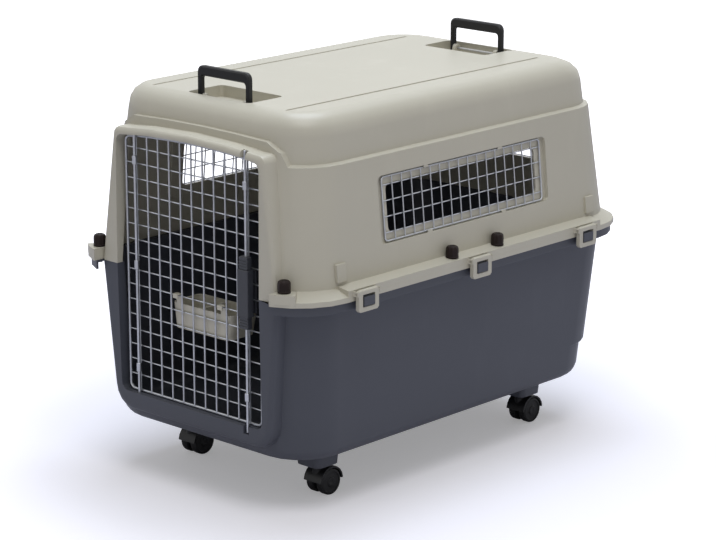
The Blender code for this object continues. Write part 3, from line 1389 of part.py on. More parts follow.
def build_crate():
    """Clear the scene and make every piece."""
    for old in list(bpy.data.objects):
        bpy.data.objects.remove(old)
    beige = material("beige_polypropylene", (0.60, 0.57, 0.46), 0.55)
    slate = material("slate_polypropylene", (0.075, 0.08, 0.10), 0.5)
    black = material("black_plastic", (0.02, 0.02, 0.022), 0.5)
    tyre = material("tyre_rubber", (0.03, 0.03, 0.032), 0.75)
    zinc = material("zinc_wire", (0.62, 0.62, 0.62), 0.35, 1.0)
    steel = material("steel", (0.5, 0.5, 0.5), 0.35, 1.0)

    piece("bottom_shell", bottom_shell(), slate)
    piece("top_shell", top_shell(), beige, (0, 0, SEAM))

    hinge = pivot("door_axis", (HINGE_X, HINGE_ROD_Y, DOORWAY_BOTTOM))
    origin = tuple(hinge.location)
    piece("door_panel", door_panel(), zinc, origin, hinge)
    piece("door_hinge_rod", hinge_rod(), zinc, origin, hinge, smooth=True)
    piece("latch_body", latch_body(), slate, (LATCH_X, LATCH_ROD_Y, LATCH_BOTTOM), hinge)
    piece("latch_back_plate", latch_plate(), slate, (LATCH_X, LATCH_ROD_Y, LATCH_BOTTOM), hinge)
    for label, direction in (("upper", 1), ("lower", -1)):
        edge = LATCH_TOP if direction > 0 else LATCH_BOTTOM
        place = (LATCH_X, LATCH_ROD_Y, edge)
        tab = piece("latch_tab_" + label, latch_tab(direction), slate, place, hinge)
        rod = piece("latch_rod_" + label, latch_rod(direction), zinc, place, hinge, smooth=True)
        rod.parent = tab
        rod.location = (0, 0, 0)
    piece("bowl", bowl(), beige, (BOWL_COLUMN * DOOR_PITCH, CROSS_Y, door_row(BOWL_HOOK_ROW)), hinge)

    for label, angle, gaps in (("right", 0.0, SIDE_WINDOW_GAPS), ("left", 180.0, SIDE_WINDOW_GAPS),
                               ("rear", 90.0, REAR_WINDOW_GAPS)):
        origin = tuple(window_matrix(angle).translation)
        piece("window_grille_" + label, window_grille(angle, gaps), zinc, origin)

    for label, sign in (("front", -1), ("rear", 1)):
        origin = (0, sign * HANDLE_Y, PIVOT_Z)
        piece("handle_" + label, handle(sign), black, origin)
        piece("handle_pin_" + label, handle_pin(sign), steel, origin, smooth=True)

    for name, turn, reach, place in clip_places():
        axis = Vector((reach + CLIP_STAND_OFF, place, CLIP_PIVOT_Z))
        axis = Matrix.Rotation(math.radians(turn), 4, "Z") @ axis
        piece(name, on_side(turn, clip(reach, place)), beige, tuple(axis))

    for label, place in knob_places():
        piece("knob_" + label, knob(place), black, (*place, KNOB_SEAT_Z), smooth=True)
        piece("bolt_" + label, bolt(place), steel, (*place, LOWER_RIM_TOP - WALL), smooth=True)

    for label, place in pod_places():
        piece("caster_stem_" + label, caster_stem(place), steel, (*place, POD_FOOT), smooth=True)
        swivel = pivot("caster_axis_" + label, (*place, POD_FOOT))
        piece("caster_hood_" + label, caster_hood(place), black, (*place, POD_FOOT), swivel, smooth=True)
        for side_label, side in (("outer" if place[0] > 0 else "inner", 1),
                                 ("inner" if place[0] > 0 else "outer", -1)):
            axle = (place[0], place[1] + CASTER_TRAIL, AXLE_Z)
            name = "caster_wheel_%s_%s" % (label, side_label)
            piece(name, caster_wheel(place, side), tyre, axle, swivel, smooth=True)
    centre_length()


def centre_length():
    """Shift every piece along Y so that the origin lies under the middle of the crate."""
    bpy.context.view_layer.update()
    reaches = []
    for item in bpy.data.objects:
        if item.type == "MESH":
            reaches += [(item.matrix_world @ vert.co).y for vert in item.data.vertices]
    middle = (min(reaches) + max(reaches)) / 2
    for item in bpy.data.objects:
        if item.parent is None:
            item.location.y -= middle


build_crate()
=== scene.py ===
"""Looks of a dog travel crate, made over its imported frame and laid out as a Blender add-on.

Every new piece is a grid of points worked out with numpy: a circle carried round a path, a
profile turned about an axis, or rings stacked on each other.  Lengths are in metres.
"""

import json
import math

import bmesh
import bpy
import numpy as np
from bpy.props import FloatProperty, FloatVectorProperty, IntProperty, PointerProperty
from mathutils import Matrix, Vector


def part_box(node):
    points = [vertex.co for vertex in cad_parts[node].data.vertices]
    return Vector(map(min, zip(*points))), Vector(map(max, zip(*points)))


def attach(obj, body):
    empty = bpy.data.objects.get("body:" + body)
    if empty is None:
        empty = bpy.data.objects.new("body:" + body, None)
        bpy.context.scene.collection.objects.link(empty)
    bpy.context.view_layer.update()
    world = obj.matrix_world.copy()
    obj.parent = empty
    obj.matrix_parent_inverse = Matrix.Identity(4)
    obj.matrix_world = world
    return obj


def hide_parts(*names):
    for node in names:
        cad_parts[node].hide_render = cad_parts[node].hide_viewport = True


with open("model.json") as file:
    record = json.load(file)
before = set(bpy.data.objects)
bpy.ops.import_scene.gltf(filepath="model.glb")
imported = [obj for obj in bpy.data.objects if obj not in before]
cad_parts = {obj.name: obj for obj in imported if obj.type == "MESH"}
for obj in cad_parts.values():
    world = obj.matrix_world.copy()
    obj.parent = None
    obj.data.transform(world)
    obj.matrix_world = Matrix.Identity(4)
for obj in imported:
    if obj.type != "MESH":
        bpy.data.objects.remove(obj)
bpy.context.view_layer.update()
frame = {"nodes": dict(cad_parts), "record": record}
NODES = frame["nodes"]

bl_info = {
    "name": "Dog travel crate",
    "version": (1, 0, 0),
    "blender": (4, 5, 0),
    "location": "3D View > Sidebar > Crate",
    "description": "Makes the visible pieces of a dog travel crate over its fixed frame",
    "category": "Add Mesh",
}


def span(node):
    """Lowest and highest corner of a CAD node, as arrays."""
    low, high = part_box(node)
    return np.array(low), np.array(high)


def middle(node):
    """Centre of a CAD node's box."""
    low, high = span(node)
    return (low + high) / 2


CASTERS = ("front_right", "front_left", "rear_right", "rear_left")
KNOBS = ("right_front", "right_rear", "left_front", "left_rear", "front_corner_right",
         "front_corner_left")
CLIPS = ("right_front", "right_middle", "right_rear", "left_front", "left_middle", "left_rear",
         "rear_right", "rear_left")
BODY = {node: body for body, nodes in frame["record"]["behaviour"]["bodies"].items()
        for node in nodes}

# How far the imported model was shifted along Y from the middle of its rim
SHIFT = -0.00865

# Door mesh: gaps between its uprights, and the planes of its uprights and cross wires
DOOR_PITCH = 0.02805
DOOR_COLUMNS = 12
DOOR_HALF = DOOR_COLUMNS * DOOR_PITCH / 2
DOOR_ROW_PITCH = 0.028
DOOR_BOTTOM = 0.1635
DOOR_CORNER = 0.010
DOOR_Y = -0.4205 + SHIFT
UPRIGHT_Y = DOOR_Y - 0.001575
CROSS_Y = DOOR_Y + 0.001275
DOOR_WELD = 0.0019

# Doorway round the mesh: rise of its arch, gap beside the mesh, bottom, gap over the frame wire's
# axis, and how deep that axis lies under the door's top
ARCH_RISE = 0.0095
DOORWAY_MARGIN = 0.0112
DOORWAY_BOTTOM = 0.160
CROWN_GAP = 0.005
CROWN_DEPTH = 0.0026

# Sleeves on the door: their rod, its X, bore radius, own height, places as shares of the doorway
HINGE_X = -5 * DOOR_PITCH
LATCH_X = -HINGE_X
SLEEVES = (("door_hinge_rod", HINGE_X, 0.0028, 0.016, (0.10, 0.50, 0.90)),
           ("latch_rod_upper", LATCH_X, 0.0030, 0.015, (0.11, 0.898)))
SLEEVE_WALL = 0.0018

# Web between a sleeve and the uprights
WEB_HALF_WIDTH = 0.0013
WEB_SINK = 0.0006
WEB_SETBACK = 0.0005
WEB_CORNER = 0.0005
WEB_EDGE = 0.0003

# Window grilles: side, turn, gaps between uprights, reach and slope of the wall, place along it
WINDOWS = (("right", 0.0, 17, 0.265633, 0.099, 0.0005),
           ("left", 180.0, 17, 0.265633, 0.099, -0.0005),
           ("rear", 90.0, 9, 0.431365, 0.095, 0.0))
WINDOW_Z = 0.530
WINDOW_PITCH = 0.0252
WINDOW_ROWS = 4
WINDOW_ROW_PITCH = 0.028
WINDOW_HALF_HEIGHT = 0.0565
WINDOW_CORNER = 0.0065
WINDOW_WELD = 0.0016
GRILLE_DEPTH = -0.004425
LAYER_GAP = 0.000075

# Thinner wires have fewer sides than the frame wires
THIN_SIDES = 8

# Copies of CAD meshes: points closer than MERGE become one, and edges flatter than FLAT degrees go
MERGE = 2e-6
FLAT = 0.5

# Their bevels: width, segments, and the least angle in degrees that counts as an edge
SHELL_EDGE = (0.0, 2, 30.0)
LATCH_EDGE = (0.0005, 2, 40.0)
BOWL_EDGE = (0.0007, 2, 50.0)
HANDLE_EDGE = (0.0011, 3, 30.0)
CLIP_EDGE = (0.0009, 2, 35.0)
HOOD_EDGE = (0.0005, 2, 32.0)

# Knob nut: blind bore from below, depth of the finger lobes as a share of the radius
KNOB_BORE = 0.0028
KNOB_BORE_DEPTH = 0.0133
KNOB_LOBE = 0.06

# Wheel: blind bore from inside, ribbed disc between hub and rim, depth of the ribs as a share
WHEEL_BORE = 0.0035
WHEEL_BORE_FLOOR = 0.0025
WHEEL_DISC_OUTER = 0.0150
WHEEL_DISC_INNER = 0.0110
WHEEL_DISC_DEPTH = 0.0018
WHEEL_RIB = 0.03

# Colours that no setting changes
KNOB_COLOUR = (0.013, 0.007, 0.006)
STEEL_COLOUR = (0.5, 0.5, 0.5)
FLOOR_COLOUR = (0.90, 0.885, 0.965)

# Stage: camera, lamps (name, setting with the power, place, target, size, colour) and floor
CAMERA_PLACE = (3.2710, -3.4999 + SHIFT, 1.6204)
SENSOR_WIDTH = 36.0
LAMPS = (("key_lamp", "key", (-0.35, 0.6, 3.8), (0, 0, 0.4), 2.2, (0.80, 0.876, 1.0)),
         ("fill_lamp", "fill", (1.5, -1.3, 4.0), (0, 0, 0.3), 2.0, (1.0, 1.0, 1.0)))
FLOOR_HALF = 9
# Floor's glow for the camera: least within GLOW_NEAR of the crate, full past GLOW_FAR; the dim part
# is painted shade round the crate
GLOW_NEAR, GLOW_FAR = 0.6, 1.95
GLOW_PAINTED_SHADE = 0.28


# Settings that a user would change

class CrateShellSettings(bpy.types.PropertyGroup):
    """Colours and surface of the moulded plastic."""

    beige: FloatVectorProperty(
        name="Upper shell", description="Colour of the upper shell, clips and bowl",
        subtype="COLOR", size=3, min=0, max=1, default=(0.550, 0.520, 0.424))
    slate: FloatVectorProperty(
        name="Tub", description="Colour of the tub and the latch",
        subtype="COLOR", size=3, min=0, max=1, default=(0.070, 0.075, 0.093))
    grain: FloatProperty(
        name="Grain depth", description="Depth of the moulded grain",
        default=0.00006, min=0, max=0.001, unit="LENGTH", precision=5)
    edge: FloatProperty(
        name="Edge radius", description="Radius that the shells' edges seem to have",
        default=0.0016, min=0, max=0.01, unit="LENGTH", precision=4)


class CrateWireSettings(bpy.types.PropertyGroup):
    """Colour and sizes of the welded wires."""

    zinc: FloatVectorProperty(
        name="Zinc", description="Colour of the zinc-plated wire",
        subtype="COLOR", size=3, min=0, max=1, default=(0.50, 0.515, 0.545))
    frame_radius: FloatProperty(
        name="Door frame wire", description="Radius of the door's frame wire",
        default=0.0026, min=0.001, max=0.005, unit="LENGTH", precision=4)
    upright_radius: FloatProperty(
        name="Upright wire", description="Radius of the door's upright wires",
        default=0.0017, min=0.0005, max=0.003, unit="LENGTH", precision=4)
    cross_radius: FloatProperty(
        name="Cross wire", description="Radius of the door's cross wires",
        default=0.0014, min=0.0005, max=0.003, unit="LENGTH", precision=4)
    grille_frame_radius: FloatProperty(
        name="Grille frame wire", description="Radius of a grille's frame wire",
        default=0.0018, min=0.001, max=0.004, unit="LENGTH", precision=4)
    grille_radius: FloatProperty(
        name="Grille wire", description="Radius of a grille's thinner wires",
        default=0.0012, min=0.0005, max=0.003, unit="LENGTH", precision=4)
    sides: IntProperty(
        name="Wire sides", description="Number of sides of each frame wire",
        default=10, min=6, max=24)


class CrateHardwareSettings(bpy.types.PropertyGroup):
    """Colours and sizes of knobs, handles and casters."""

    black: FloatVectorProperty(
        name="Black plastic", description="Colour of handles and hoods",
        subtype="COLOR", size=3, min=0, max=1, default=(0.010, 0.010, 0.011))
    tread: FloatVectorProperty(
        name="Wheel plastic", description="Colour of the wheels",
        subtype="COLOR", size=3, min=0, max=1, default=(0.012, 0.012, 0.013))
    knob_lobes: IntProperty(
        name="Knob lobes", description="Number of finger lobes round a knob",
        default=8, min=3, max=24)
    wheel_ribs: IntProperty(
        name="Wheel ribs", description="Number of ribs on a wheel's outer face",
        default=9, min=3, max=24)


class CrateStageSettings(bpy.types.PropertyGroup):
    """Light and camera."""

    sky: FloatProperty(
        name="Sky", description="Strength of the even light from all round",
        default=0.28, min=0, max=2)
    key: FloatProperty(
        name="Key lamp", description="Power of the large lamp above",
        default=79.0, min=0, max=2000, unit="POWER")
    fill: FloatProperty(
        name="Fill lamp", description="Power of the lamp above the camera's side",
        default=44.0, min=0, max=2000, unit="POWER")
    lens: FloatProperty(
        name="Lens", description="Focal length of the camera in millimetres",
        default=133.22, min=20, max=300)
    azimuth: FloatProperty(
        name="Azimuth", description="Direction of the camera round the crate",
        default=math.radians(43.0448), subtype="ANGLE")
    elevation: FloatProperty(
        name="Elevation", description="Height of the camera over the horizon",
        default=math.radians(15.0646), subtype="ANGLE")


GROUPS = (("crate_shells", CrateShellSettings), ("crate_wires", CrateWireSettings),
          ("crate_hardware", CrateHardwareSettings), ("crate_stage", CrateStageSettings))


# Grids of points

LEAST_RADIUS = 1e-5


def turn(count):
    """Angles of equally spaced points on a circle."""
    return np.arange(count) * 2 * math.pi / count


def arc(centre, radius, start, end, steps):
    """Points on an arc: centre plus radius times cosine and sine; angles in degrees."""
    angle = np.radians(np.linspace(start, end, steps + 1))
    return np.stack([centre[0] + radius * np.cos(angle), centre[1] + radius * np.sin(angle)], 1)


def rounded_rectangle(low_u, high_u, low_v, high_v, radius, steps):
    """Outline of a rectangle whose corners are quarter circles."""
    corners = ((high_u - radius, high_v - radius, 0), (low_u + radius, high_v - radius, 90),
               (low_u + radius, low_v + radius, 180), (high_u - radius, low_v + radius, 270))
    return np.concatenate([arc((u, v), radius, start, start + 90, steps)
                           for u, v, start in corners])


def ring_of_wire(path, radius, sides, normal):
    """A circle carried round a flat closed path: p + r (cos a * across + sin a * normal)."""
    step = np.roll(path, -1, 0) - np.roll(path, 1, 0)
    tangent = step / np.linalg.norm(step, axis=1)[:, None]
    across = np.cross(normal, tangent)[:, None]
    angle = turn(sides)[None, :, None]
    return path[:, None] + (np.cos(angle) * across + np.sin(angle) * np.asarray(normal)) * radius


def lathe(profile, steps, lobes=0):
    """A profile of (radius, height, swell) about Z: radius times 1 + swell * cos(lobes * angle)."""
    profile = np.asarray(profile, float)
    angle = turn(steps)
    swell = profile[:, 2:] if profile.shape[1] > 2 else np.zeros((len(profile), 1))
    radius = profile[:, :1] * (1 + swell * np.cos(lobes * angle)[None])
    height = np.repeat(profile[:, 1:2], steps, 1)
    return np.stack([radius * np.cos(angle), radius * np.sin(angle), height], 2)


def straight(start, end, radius, sides, ends=0.0004):
    """A round bar between two points whose ends are broken by a small cone."""
    start, end = np.asarray(start, float), np.asarray(end, float)
    length = np.linalg.norm(end - start)
    ring = lathe([(radius - ends, 0), (radius, ends), (radius, length - ends),
                  (radius - ends, length)], sides)
    axis = (end - start) / length
    helper = (0.0, 1.0, 0.0) if abs(axis[1]) < 0.9 else (1.0, 0.0, 0.0)
    across = np.cross(axis, helper)
    across /= np.linalg.norm(across)
    return start + ring @ np.stack([across, np.cross(axis, across), axis])


def sleeve(centre, inner, outer, height, sides):
    """A ring round an upright axis; its rows go once round a rectangle with broken edges."""
    edge = (outer - inner) * 0.3
    half = height / 2
    profile = [(inner, -half), (outer - edge, -half), (outer, edge - half), (outer, half - edge),
               (outer - edge, half), (inner, half)]
    return lathe(profile, sides) + np.asarray(centre)


def block(low, high, corner, edge, steps):
    """A box with rounded upright corners whose top and bottom edges are quarter circles."""
    rings = []
    lift = np.radians(np.linspace(0, 90, steps + 1))
    inset = np.concatenate([edge * (1 - np.sin(lift)), edge * (1 - np.sin(lift[::-1]))])
    height = np.concatenate([low[2] + edge * (1 - np.cos(lift)),
                             high[2] - edge * (1 - np.cos(lift[::-1]))])
    for drawn, level in zip(inset, height):
        ring = rounded_rectangle(low[0] + drawn, high[0] - drawn, low[1] + drawn, high[1] - drawn,
                                 max(corner - drawn, LEAST_RADIUS), steps)
        rings.append(np.column_stack([ring, np.full(len(ring), level)]))
    return np.stack(rings)


def welds(uprights, rows, place, radius):
    """A flattened nugget at each crossing of uprights and cross wires; place maps (along, up)."""
    lift = np.radians(np.linspace(-75, 75, 4))
    ball = lathe(np.stack([radius * np.cos(lift), radius * np.sin(lift)], 1), 6)
    return [ball + place(x, z) for x in uprights for z in rows]


def moved(points, matrix):
    """Points carried by a 4x4 matrix."""
    matrix = np.array(matrix)
    return points @ matrix[:3, :3].T + matrix[:3, 3]


class Skin:
    """Grids of points that become one mesh."""

    def __init__(self):
        self.points = []
        self.faces = []
        self.count = 0

    def add(self, grid, close_rows=False):
        """Join neighbours of a (rows, columns) grid into quads that face outwards.

        Columns close on themselves.  Rows close on themselves too, or each end row gets a fan
        of triangles round its middle point.
        """
        rows, columns = grid.shape[:2]
        index = np.arange(rows * columns).reshape(rows, columns)
        after = np.roll(index, -1, 1)
        above = np.roll(index, -1, 0)
        beyond = np.roll(above, -1, 1)
        last = rows if close_rows else rows - 1
        quads = np.stack([index, after, beyond, above], 2)[:last].reshape(-1, 4)
        points = grid.reshape(-1, 3)
        fans = np.empty((0, 3), int)
        if not close_rows:
            middles = np.stack([grid[0].mean(0), grid[-1].mean(0)])
            points = np.concatenate([points, middles])
            low = np.full(columns, rows * columns)
            bottom = np.stack([low, after[0], index[0]], 1)
            top = np.stack([low + 1, index[-1], after[-1]], 1)
            fans = np.concatenate([bottom, top])
        triangles = np.concatenate([quads[:, [0, 1, 2]], quads[:, [0, 2, 3]], fans])
        corner = points[triangles] - points.mean(0)
        volume = np.einsum("ij,ij->i", corner[:, 0], np.cross(corner[:, 1], corner[:, 2])).sum()
        if volume < 0:
            quads = quads[:, ::-1]
            fans = fans[:, ::-1]
        self.faces += (quads + self.count).tolist() + (fans + self.count).tolist()
        self.points.append(points)
        self.count += len(points)
        return self

    def mesh(self, name):
        """The mesh of all grids so far."""
        data = bpy.data.meshes.new(name)
        data.from_pydata(np.concatenate(self.points), [], self.faces)
        data.validate()
        return data


def place_piece(name, data, finish, body, node, angle=35.0):
    """Put a mesh in the scene as a piece that rides on a body and stands for a CAD node.

    Its shading is smooth, with sharp edges past an angle in degrees.
    """
    data.shade_smooth()
    data.set_sharp_from_angle(angle=math.radians(angle))
    data.materials.append(finish)
    piece = bpy.data.objects.new(name, data)
    bpy.context.scene.collection.objects.link(piece)
    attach(piece, body)
    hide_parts(node)
    return piece


# Finishes

class Socket:
    """One output of a node; arithmetic on it adds Math nodes."""

    def __init__(self, finish, output):
        self.finish = finish
        self.output = output

    def __add__(self, other):
        return self.finish.math("ADD", self, other)

    def __radd__(self, other):
        return self.finish.math("ADD", other, self)

    def __rsub__(self, other):
        return self.finish.math("SUBTRACT", other, self)

    def __mul__(self, other):
        return self.finish.math("MULTIPLY", self, other)


class Finish:
    """A material and the one way to add nodes to it."""

    def __init__(self, name, colour, roughness, metallic=0.0, specular=0.5):
        self.material = bpy.data.materials.new(name)
        self.material.use_nodes = True
        self.colour = (*colour, 1.0)
        self.material.diffuse_color = self.colour
        self.tree = self.material.node_tree
        self.shader = self.tree.nodes["Principled BSDF"]
        self.give("Base Color", self.colour)
        self.give("Roughness", roughness)
        self.give("Metallic", metallic)
        self.give("Specular IOR Level", specular)
        self.place = self.node("TexCoord", output="Object")

    def node(self, kind, settings=None, inputs=None, output=0):
        """Add a node, set it up, feed its sockets with values or Sockets, and give one output."""
        node = self.tree.nodes.new("ShaderNode" + kind)
        for key, value in (settings or {}).items():
            setattr(node, key, value)
        for key, value in (inputs or {}).items():
            self.feed(node.inputs[key], value)
        return Socket(self, node.outputs[output])

    def feed(self, socket, value):
        """Give a socket a value or a link."""
        if isinstance(value, Socket):
            self.tree.links.new(value.output, socket)
        else:
            socket.default_value = value

    def give(self, name, value):
        """Give an input of the shader a value or a link."""
        self.feed(self.shader.inputs[name], value)

    def math(self, operation, first, second):
        """A Math node."""
        return self.node("Math", {"operation": operation}, {0: first, 1: second})

    def noise(self, scale, detail=2.0, roughness=0.5, stretch=None):
        """Noise in object space, from 0 to 1; stretch scales the three axes."""
        place = self.place
        if stretch:
            place = self.node("Mapping", None, {"Vector": place, "Scale": stretch})
        return self.node("TexNoise", None, {"Vector": place, "Scale": scale, "Detail": detail,
                                            "Roughness": roughness}, "Fac")

    def ramp(self, value, low, high):
        """A value stretched so that low gives 0 and high gives 1, and clipped there."""
        return self.node("MapRange", {"clamp": True},
                         {"Value": value, "From Min": low, "From Max": high})

    def tint(self, mask, colour, base=None):
        """Mix the base colour towards another one where a mask is 1."""
        return self.node("Mix", {"data_type": "RGBA"},
                         {0: mask, 6: base or self.colour, 7: (*colour, 1.0)}, 2)

    def relief(self, height, distance, strength, edge=0.0):
        """Bump from a height, over edges that are rounded in the shading."""
        inputs = {"Height": height, "Distance": distance, "Strength": strength}
        if edge:
            inputs["Normal"] = self.node("Bevel", {"samples": 6}, {"Radius": edge})
        self.give("Normal", self.node("Bump", None, inputs))


def shade(colour, share):
    """A colour times a share."""
    return tuple(min(1.0, part * share) for part in colour)


def moulded_plastic(name, colour, roughness, grain, edge, specular):
    """Injection-moulded plastic: fine grain, faint flow marks, rubbed and dusty places."""
    finish = Finish(name, colour, roughness, specular=specular)
    flow = finish.noise(3.2, detail=3.0, roughness=0.55, stretch=(1.0, 1.0, 2.6))
    speck = finish.noise(420.0)
    patches = finish.noise(14.0, detail=6.0, roughness=0.62, stretch=(1.0, 1.0, 0.35))
    rubbed = finish.ramp(patches, low=0.56, high=0.74)
    base = finish.tint(finish.ramp(flow, low=0.32, high=0.70) * 0.55, shade(colour, 0.94))
    base = finish.tint(rubbed * 0.25, shade(colour, 1.10), base)
    base = finish.tint(finish.ramp(speck, low=0.60, high=0.72) * 0.10, shade(colour, 0.80), base)
    finish.give("Base Color", base)
    finish.give("Roughness", roughness - rubbed * 0.07 + flow * 0.06)
    fine = finish.noise(900.0, roughness=0.6)
    coarse = finish.noise(260.0, detail=1.0)
    finish.relief(fine * 0.6 + coarse * 0.4, grain, 0.55, edge)
    return finish.material


def zinc_plate(name, colour):
    """Zinc-plated wire: soft metal with clouded patches and drawn streaks."""
    finish = Finish(name, colour, roughness=0.34, metallic=1.0)
    cloud = finish.noise(60.0, detail=4.0, roughness=0.6)
    streak = finish.noise(300.0, stretch=(1.0, 1.0, 0.12))
    base = finish.tint(finish.ramp(cloud, low=0.38, high=0.66) * 0.7, shade(colour, 0.78))
    base = finish.tint(finish.ramp(streak, low=0.60, high=0.75) * 0.3, shade(colour, 1.2), base)
    finish.give("Base Color", base)
    finish.give("Roughness", 0.27 + cloud * 0.20)
    finish.relief(streak * 0.5 + cloud * 0.5, 0.00004, 0.4)
    return finish.material


def turned_steel(name, colour):
    """Bright steel of pins, bolts and stems, with turning marks."""
    finish = Finish(name, colour, roughness=0.3, metallic=1.0)
    marks = finish.noise(700.0, stretch=(0.2, 0.2, 1.0))
    base = finish.tint(finish.ramp(marks, low=0.4, high=0.7) * 0.5, shade(colour, 0.75))
    finish.give("Base Color", base)
    finish.give("Roughness", 0.22 + marks * 0.2)
    finish.relief(marks, 0.00003, 0.5)
    return finish.material


FINISHES = {}


def finishes():
    """The crate's finishes, made once from the settings."""
    if not FINISHES:
        scene = bpy.context.scene
        shells, wires, hardware = scene.crate_shells, scene.crate_wires, scene.crate_hardware
        slate, grain = tuple(shells.slate), shells.grain
        # Key, name, colour, roughness, grain, edge radius, specular level
        plastics = (
            ("beige", "beige_polypropylene", tuple(shells.beige), 0.40, grain, shells.edge, 0.7),
            ("slate", "slate_polypropylene", slate, 0.46, grain, shells.edge, 0.4),
            ("black", "black_plastic", tuple(hardware.black), 0.36, grain / 2, 0.0006, 0.3),
            ("tread", "wheel_plastic", tuple(hardware.tread), 0.55, grain, 0.0004, 0.3),
            ("latch", "latch_plastic", shade(slate, 0.55), 0.42, grain, 0.0004, 0.5),
            ("knob", "knob_plastic", KNOB_COLOUR, 0.50, grain / 2, 0.0004, 0.2))
        for key, *values in plastics:
            FINISHES[key] = moulded_plastic(*values)
        FINISHES["zinc"] = zinc_plate("zinc_wire", tuple(wires.zinc))
        FINISHES["steel"] = turned_steel("steel", STEEL_COLOUR)
    return FINISHES


def dress(node, finish):
    """Give a CAD node that stays in view a finish."""
    slots = NODES[node].data.materials
    slots.clear()
    slots.append(finish)


# Pieces

def eased(node, finish, edge):
    """A merged copy of a CAD node whose sharp edges are rounded by a bevel.

    The copy drops the normals that came with the CAD mesh, because they hide its edges.
    """
    width, segments, angle = edge
    mesh = bmesh.new()
    mesh.from_mesh(NODES[node].data)
    bmesh.ops.remove_doubles(mesh, verts=mesh.verts, dist=MERGE)
    bmesh.ops.dissolve_limit(mesh, angle_limit=math.radians(FLAT), verts=mesh.verts,
                             edges=mesh.edges)
    data = bpy.data.meshes.new("eased_" + node)
    mesh.to_mesh(data)
    mesh.free()
    for name in ("custom_normal", "sharp_face"):
        if name in data.attributes:
            data.attributes.remove(data.attributes[name])
    piece = place_piece("eased_" + node, data, finish, BODY[node], node, angle)
    if width:
        bevel = piece.modifiers.new("round_edges", "BEVEL")
        bevel.width = width
        bevel.segments = segments
        bevel.limit_method = "ANGLE"
        bevel.angle_limit = math.radians(angle)
        bevel.harden_normals = True
    return piece


def rod_piece(node, body):
    """A round rod in the box of an upright CAD rod, with its ends broken."""
    low, high = span(node)
    x, y, _ = middle(node)
    radius = (high[0] - low[0]) / 2
    skin = Skin().add(straight((x, y, low[2]), (x, y, high[2]), radius, 20, 0.0006))
    place_piece(node + "_bar", skin.mesh(node), finishes()["zinc"], body, node)


class CRATE_OT_shells(bpy.types.Operator):
    """Dress the two moulded shells"""

    bl_idname = "crate.shells"
    bl_label = "Shells"

    def execute(self, context):
        """Even out the shells' facets in the shading and give them their plastic."""
        for node, finish in (("top_shell", "beige"), ("bottom_shell", "slate")):
            piece = eased(node, finishes()[finish], SHELL_EDGE)
            even = piece.modifiers.new("even_normals", "WEIGHTED_NORMAL")
            even.keep_sharp = True
        return {"FINISHED"}


class CRATE_OT_door(bpy.types.Operator):
    """Make the wire door with its knuckles and hinge rod"""

    bl_idname = "crate.door"
    bl_label = "Wire door"

    def execute(self, context):
        """Carry round wires along the door's frame, uprights and rows, and add its sleeves."""
        wires = context.scene.crate_wires
        crown = span("door_panel")[1][2] - CROWN_DEPTH
        sag = self.arch_drop(DOOR_HALF)
        end = crown - sag
        skin = Skin()
        skin.add(ring_of_wire(self.outline(crown, sag), wires.frame_radius, wires.sides,
                              (0, 1, 0)), close_rows=True)
        columns = (np.arange(1, DOOR_COLUMNS) - DOOR_COLUMNS / 2) * DOOR_PITCH
        count = int((end - DOOR_BOTTOM) / DOOR_ROW_PITCH)
        rows = DOOR_BOTTOM + DOOR_ROW_PITCH * np.arange(1, count + 1)
        for x in columns:
            top = crown - sag * (x / DOOR_HALF) ** 2
            skin.add(straight((x, UPRIGHT_Y, DOOR_BOTTOM), (x, UPRIGHT_Y, top),
                              wires.upright_radius, THIN_SIDES))
        for z in rows:
            skin.add(straight((-DOOR_HALF, CROSS_Y, z), (DOOR_HALF, CROSS_Y, z),
                              wires.cross_radius, THIN_SIDES))
        for ball in welds(columns, rows, lambda x, z: np.array((x, DOOR_Y, z)), DOOR_WELD):
            skin.add(ball)
        self.sleeves(skin, crown)
        place_piece("door_mesh", skin.mesh("door_mesh"), finishes()["zinc"], "door",
                    "door_panel")
        rod_piece("door_hinge_rod", "door")
        return {"FINISHED"}

    @staticmethod
    def arch_drop(x):
        """How far the doorway's arch has fallen at a distance from its middle: a parabola."""
        return ARCH_RISE * (x / (DOOR_HALF + DOORWAY_MARGIN)) ** 2

    @staticmethod
    def outline(crown, sag):
        """Path of the frame wire: a rectangle with round corners under a parabola."""
        side, end, low = DOOR_HALF - DOOR_CORNER, crown - sag, DOOR_BOTTOM + DOOR_CORNER
        bow = np.linspace(0.85, -0.85, 9)
        path = np.concatenate([
            arc((side, low), DOOR_CORNER, 270, 360, 5),
            arc((side, end - DOOR_CORNER), DOOR_CORNER, 0, 84, 5),
            np.stack([bow * DOOR_HALF, crown - sag * bow ** 2], 1),
            arc((-side, end - DOOR_CORNER), DOOR_CORNER, 96, 180, 5),
            arc((-side, low), DOOR_CORNER, 180, 270, 5)])
        return np.column_stack([path[:, 0], np.full(len(path), DOOR_Y), path[:, 1]])

    def sleeves(self, skin, crown):
        """Knuckles round the hinge rod and guides round the latch rods, each on a small web."""
        top = crown + CROWN_GAP - self.arch_drop(HINGE_X)
        for rod, x, radius, height, shares in SLEEVES:
            y = middle(rod)[1]
            outer = radius + SLEEVE_WALL
            for share in shares:
                z = DOORWAY_BOTTOM + share * (top - DOORWAY_BOTTOM)
                skin.add(sleeve((x, y, z), radius, outer, height, 16), close_rows=True)
                skin.add(block(
                    (x - WEB_HALF_WIDTH, y + outer - WEB_SINK, z - height / 2 + WEB_SETBACK),
                    (x + WEB_HALF_WIDTH, UPRIGHT_Y, z + height / 2 - WEB_SETBACK),
                    WEB_CORNER, WEB_EDGE, 2))


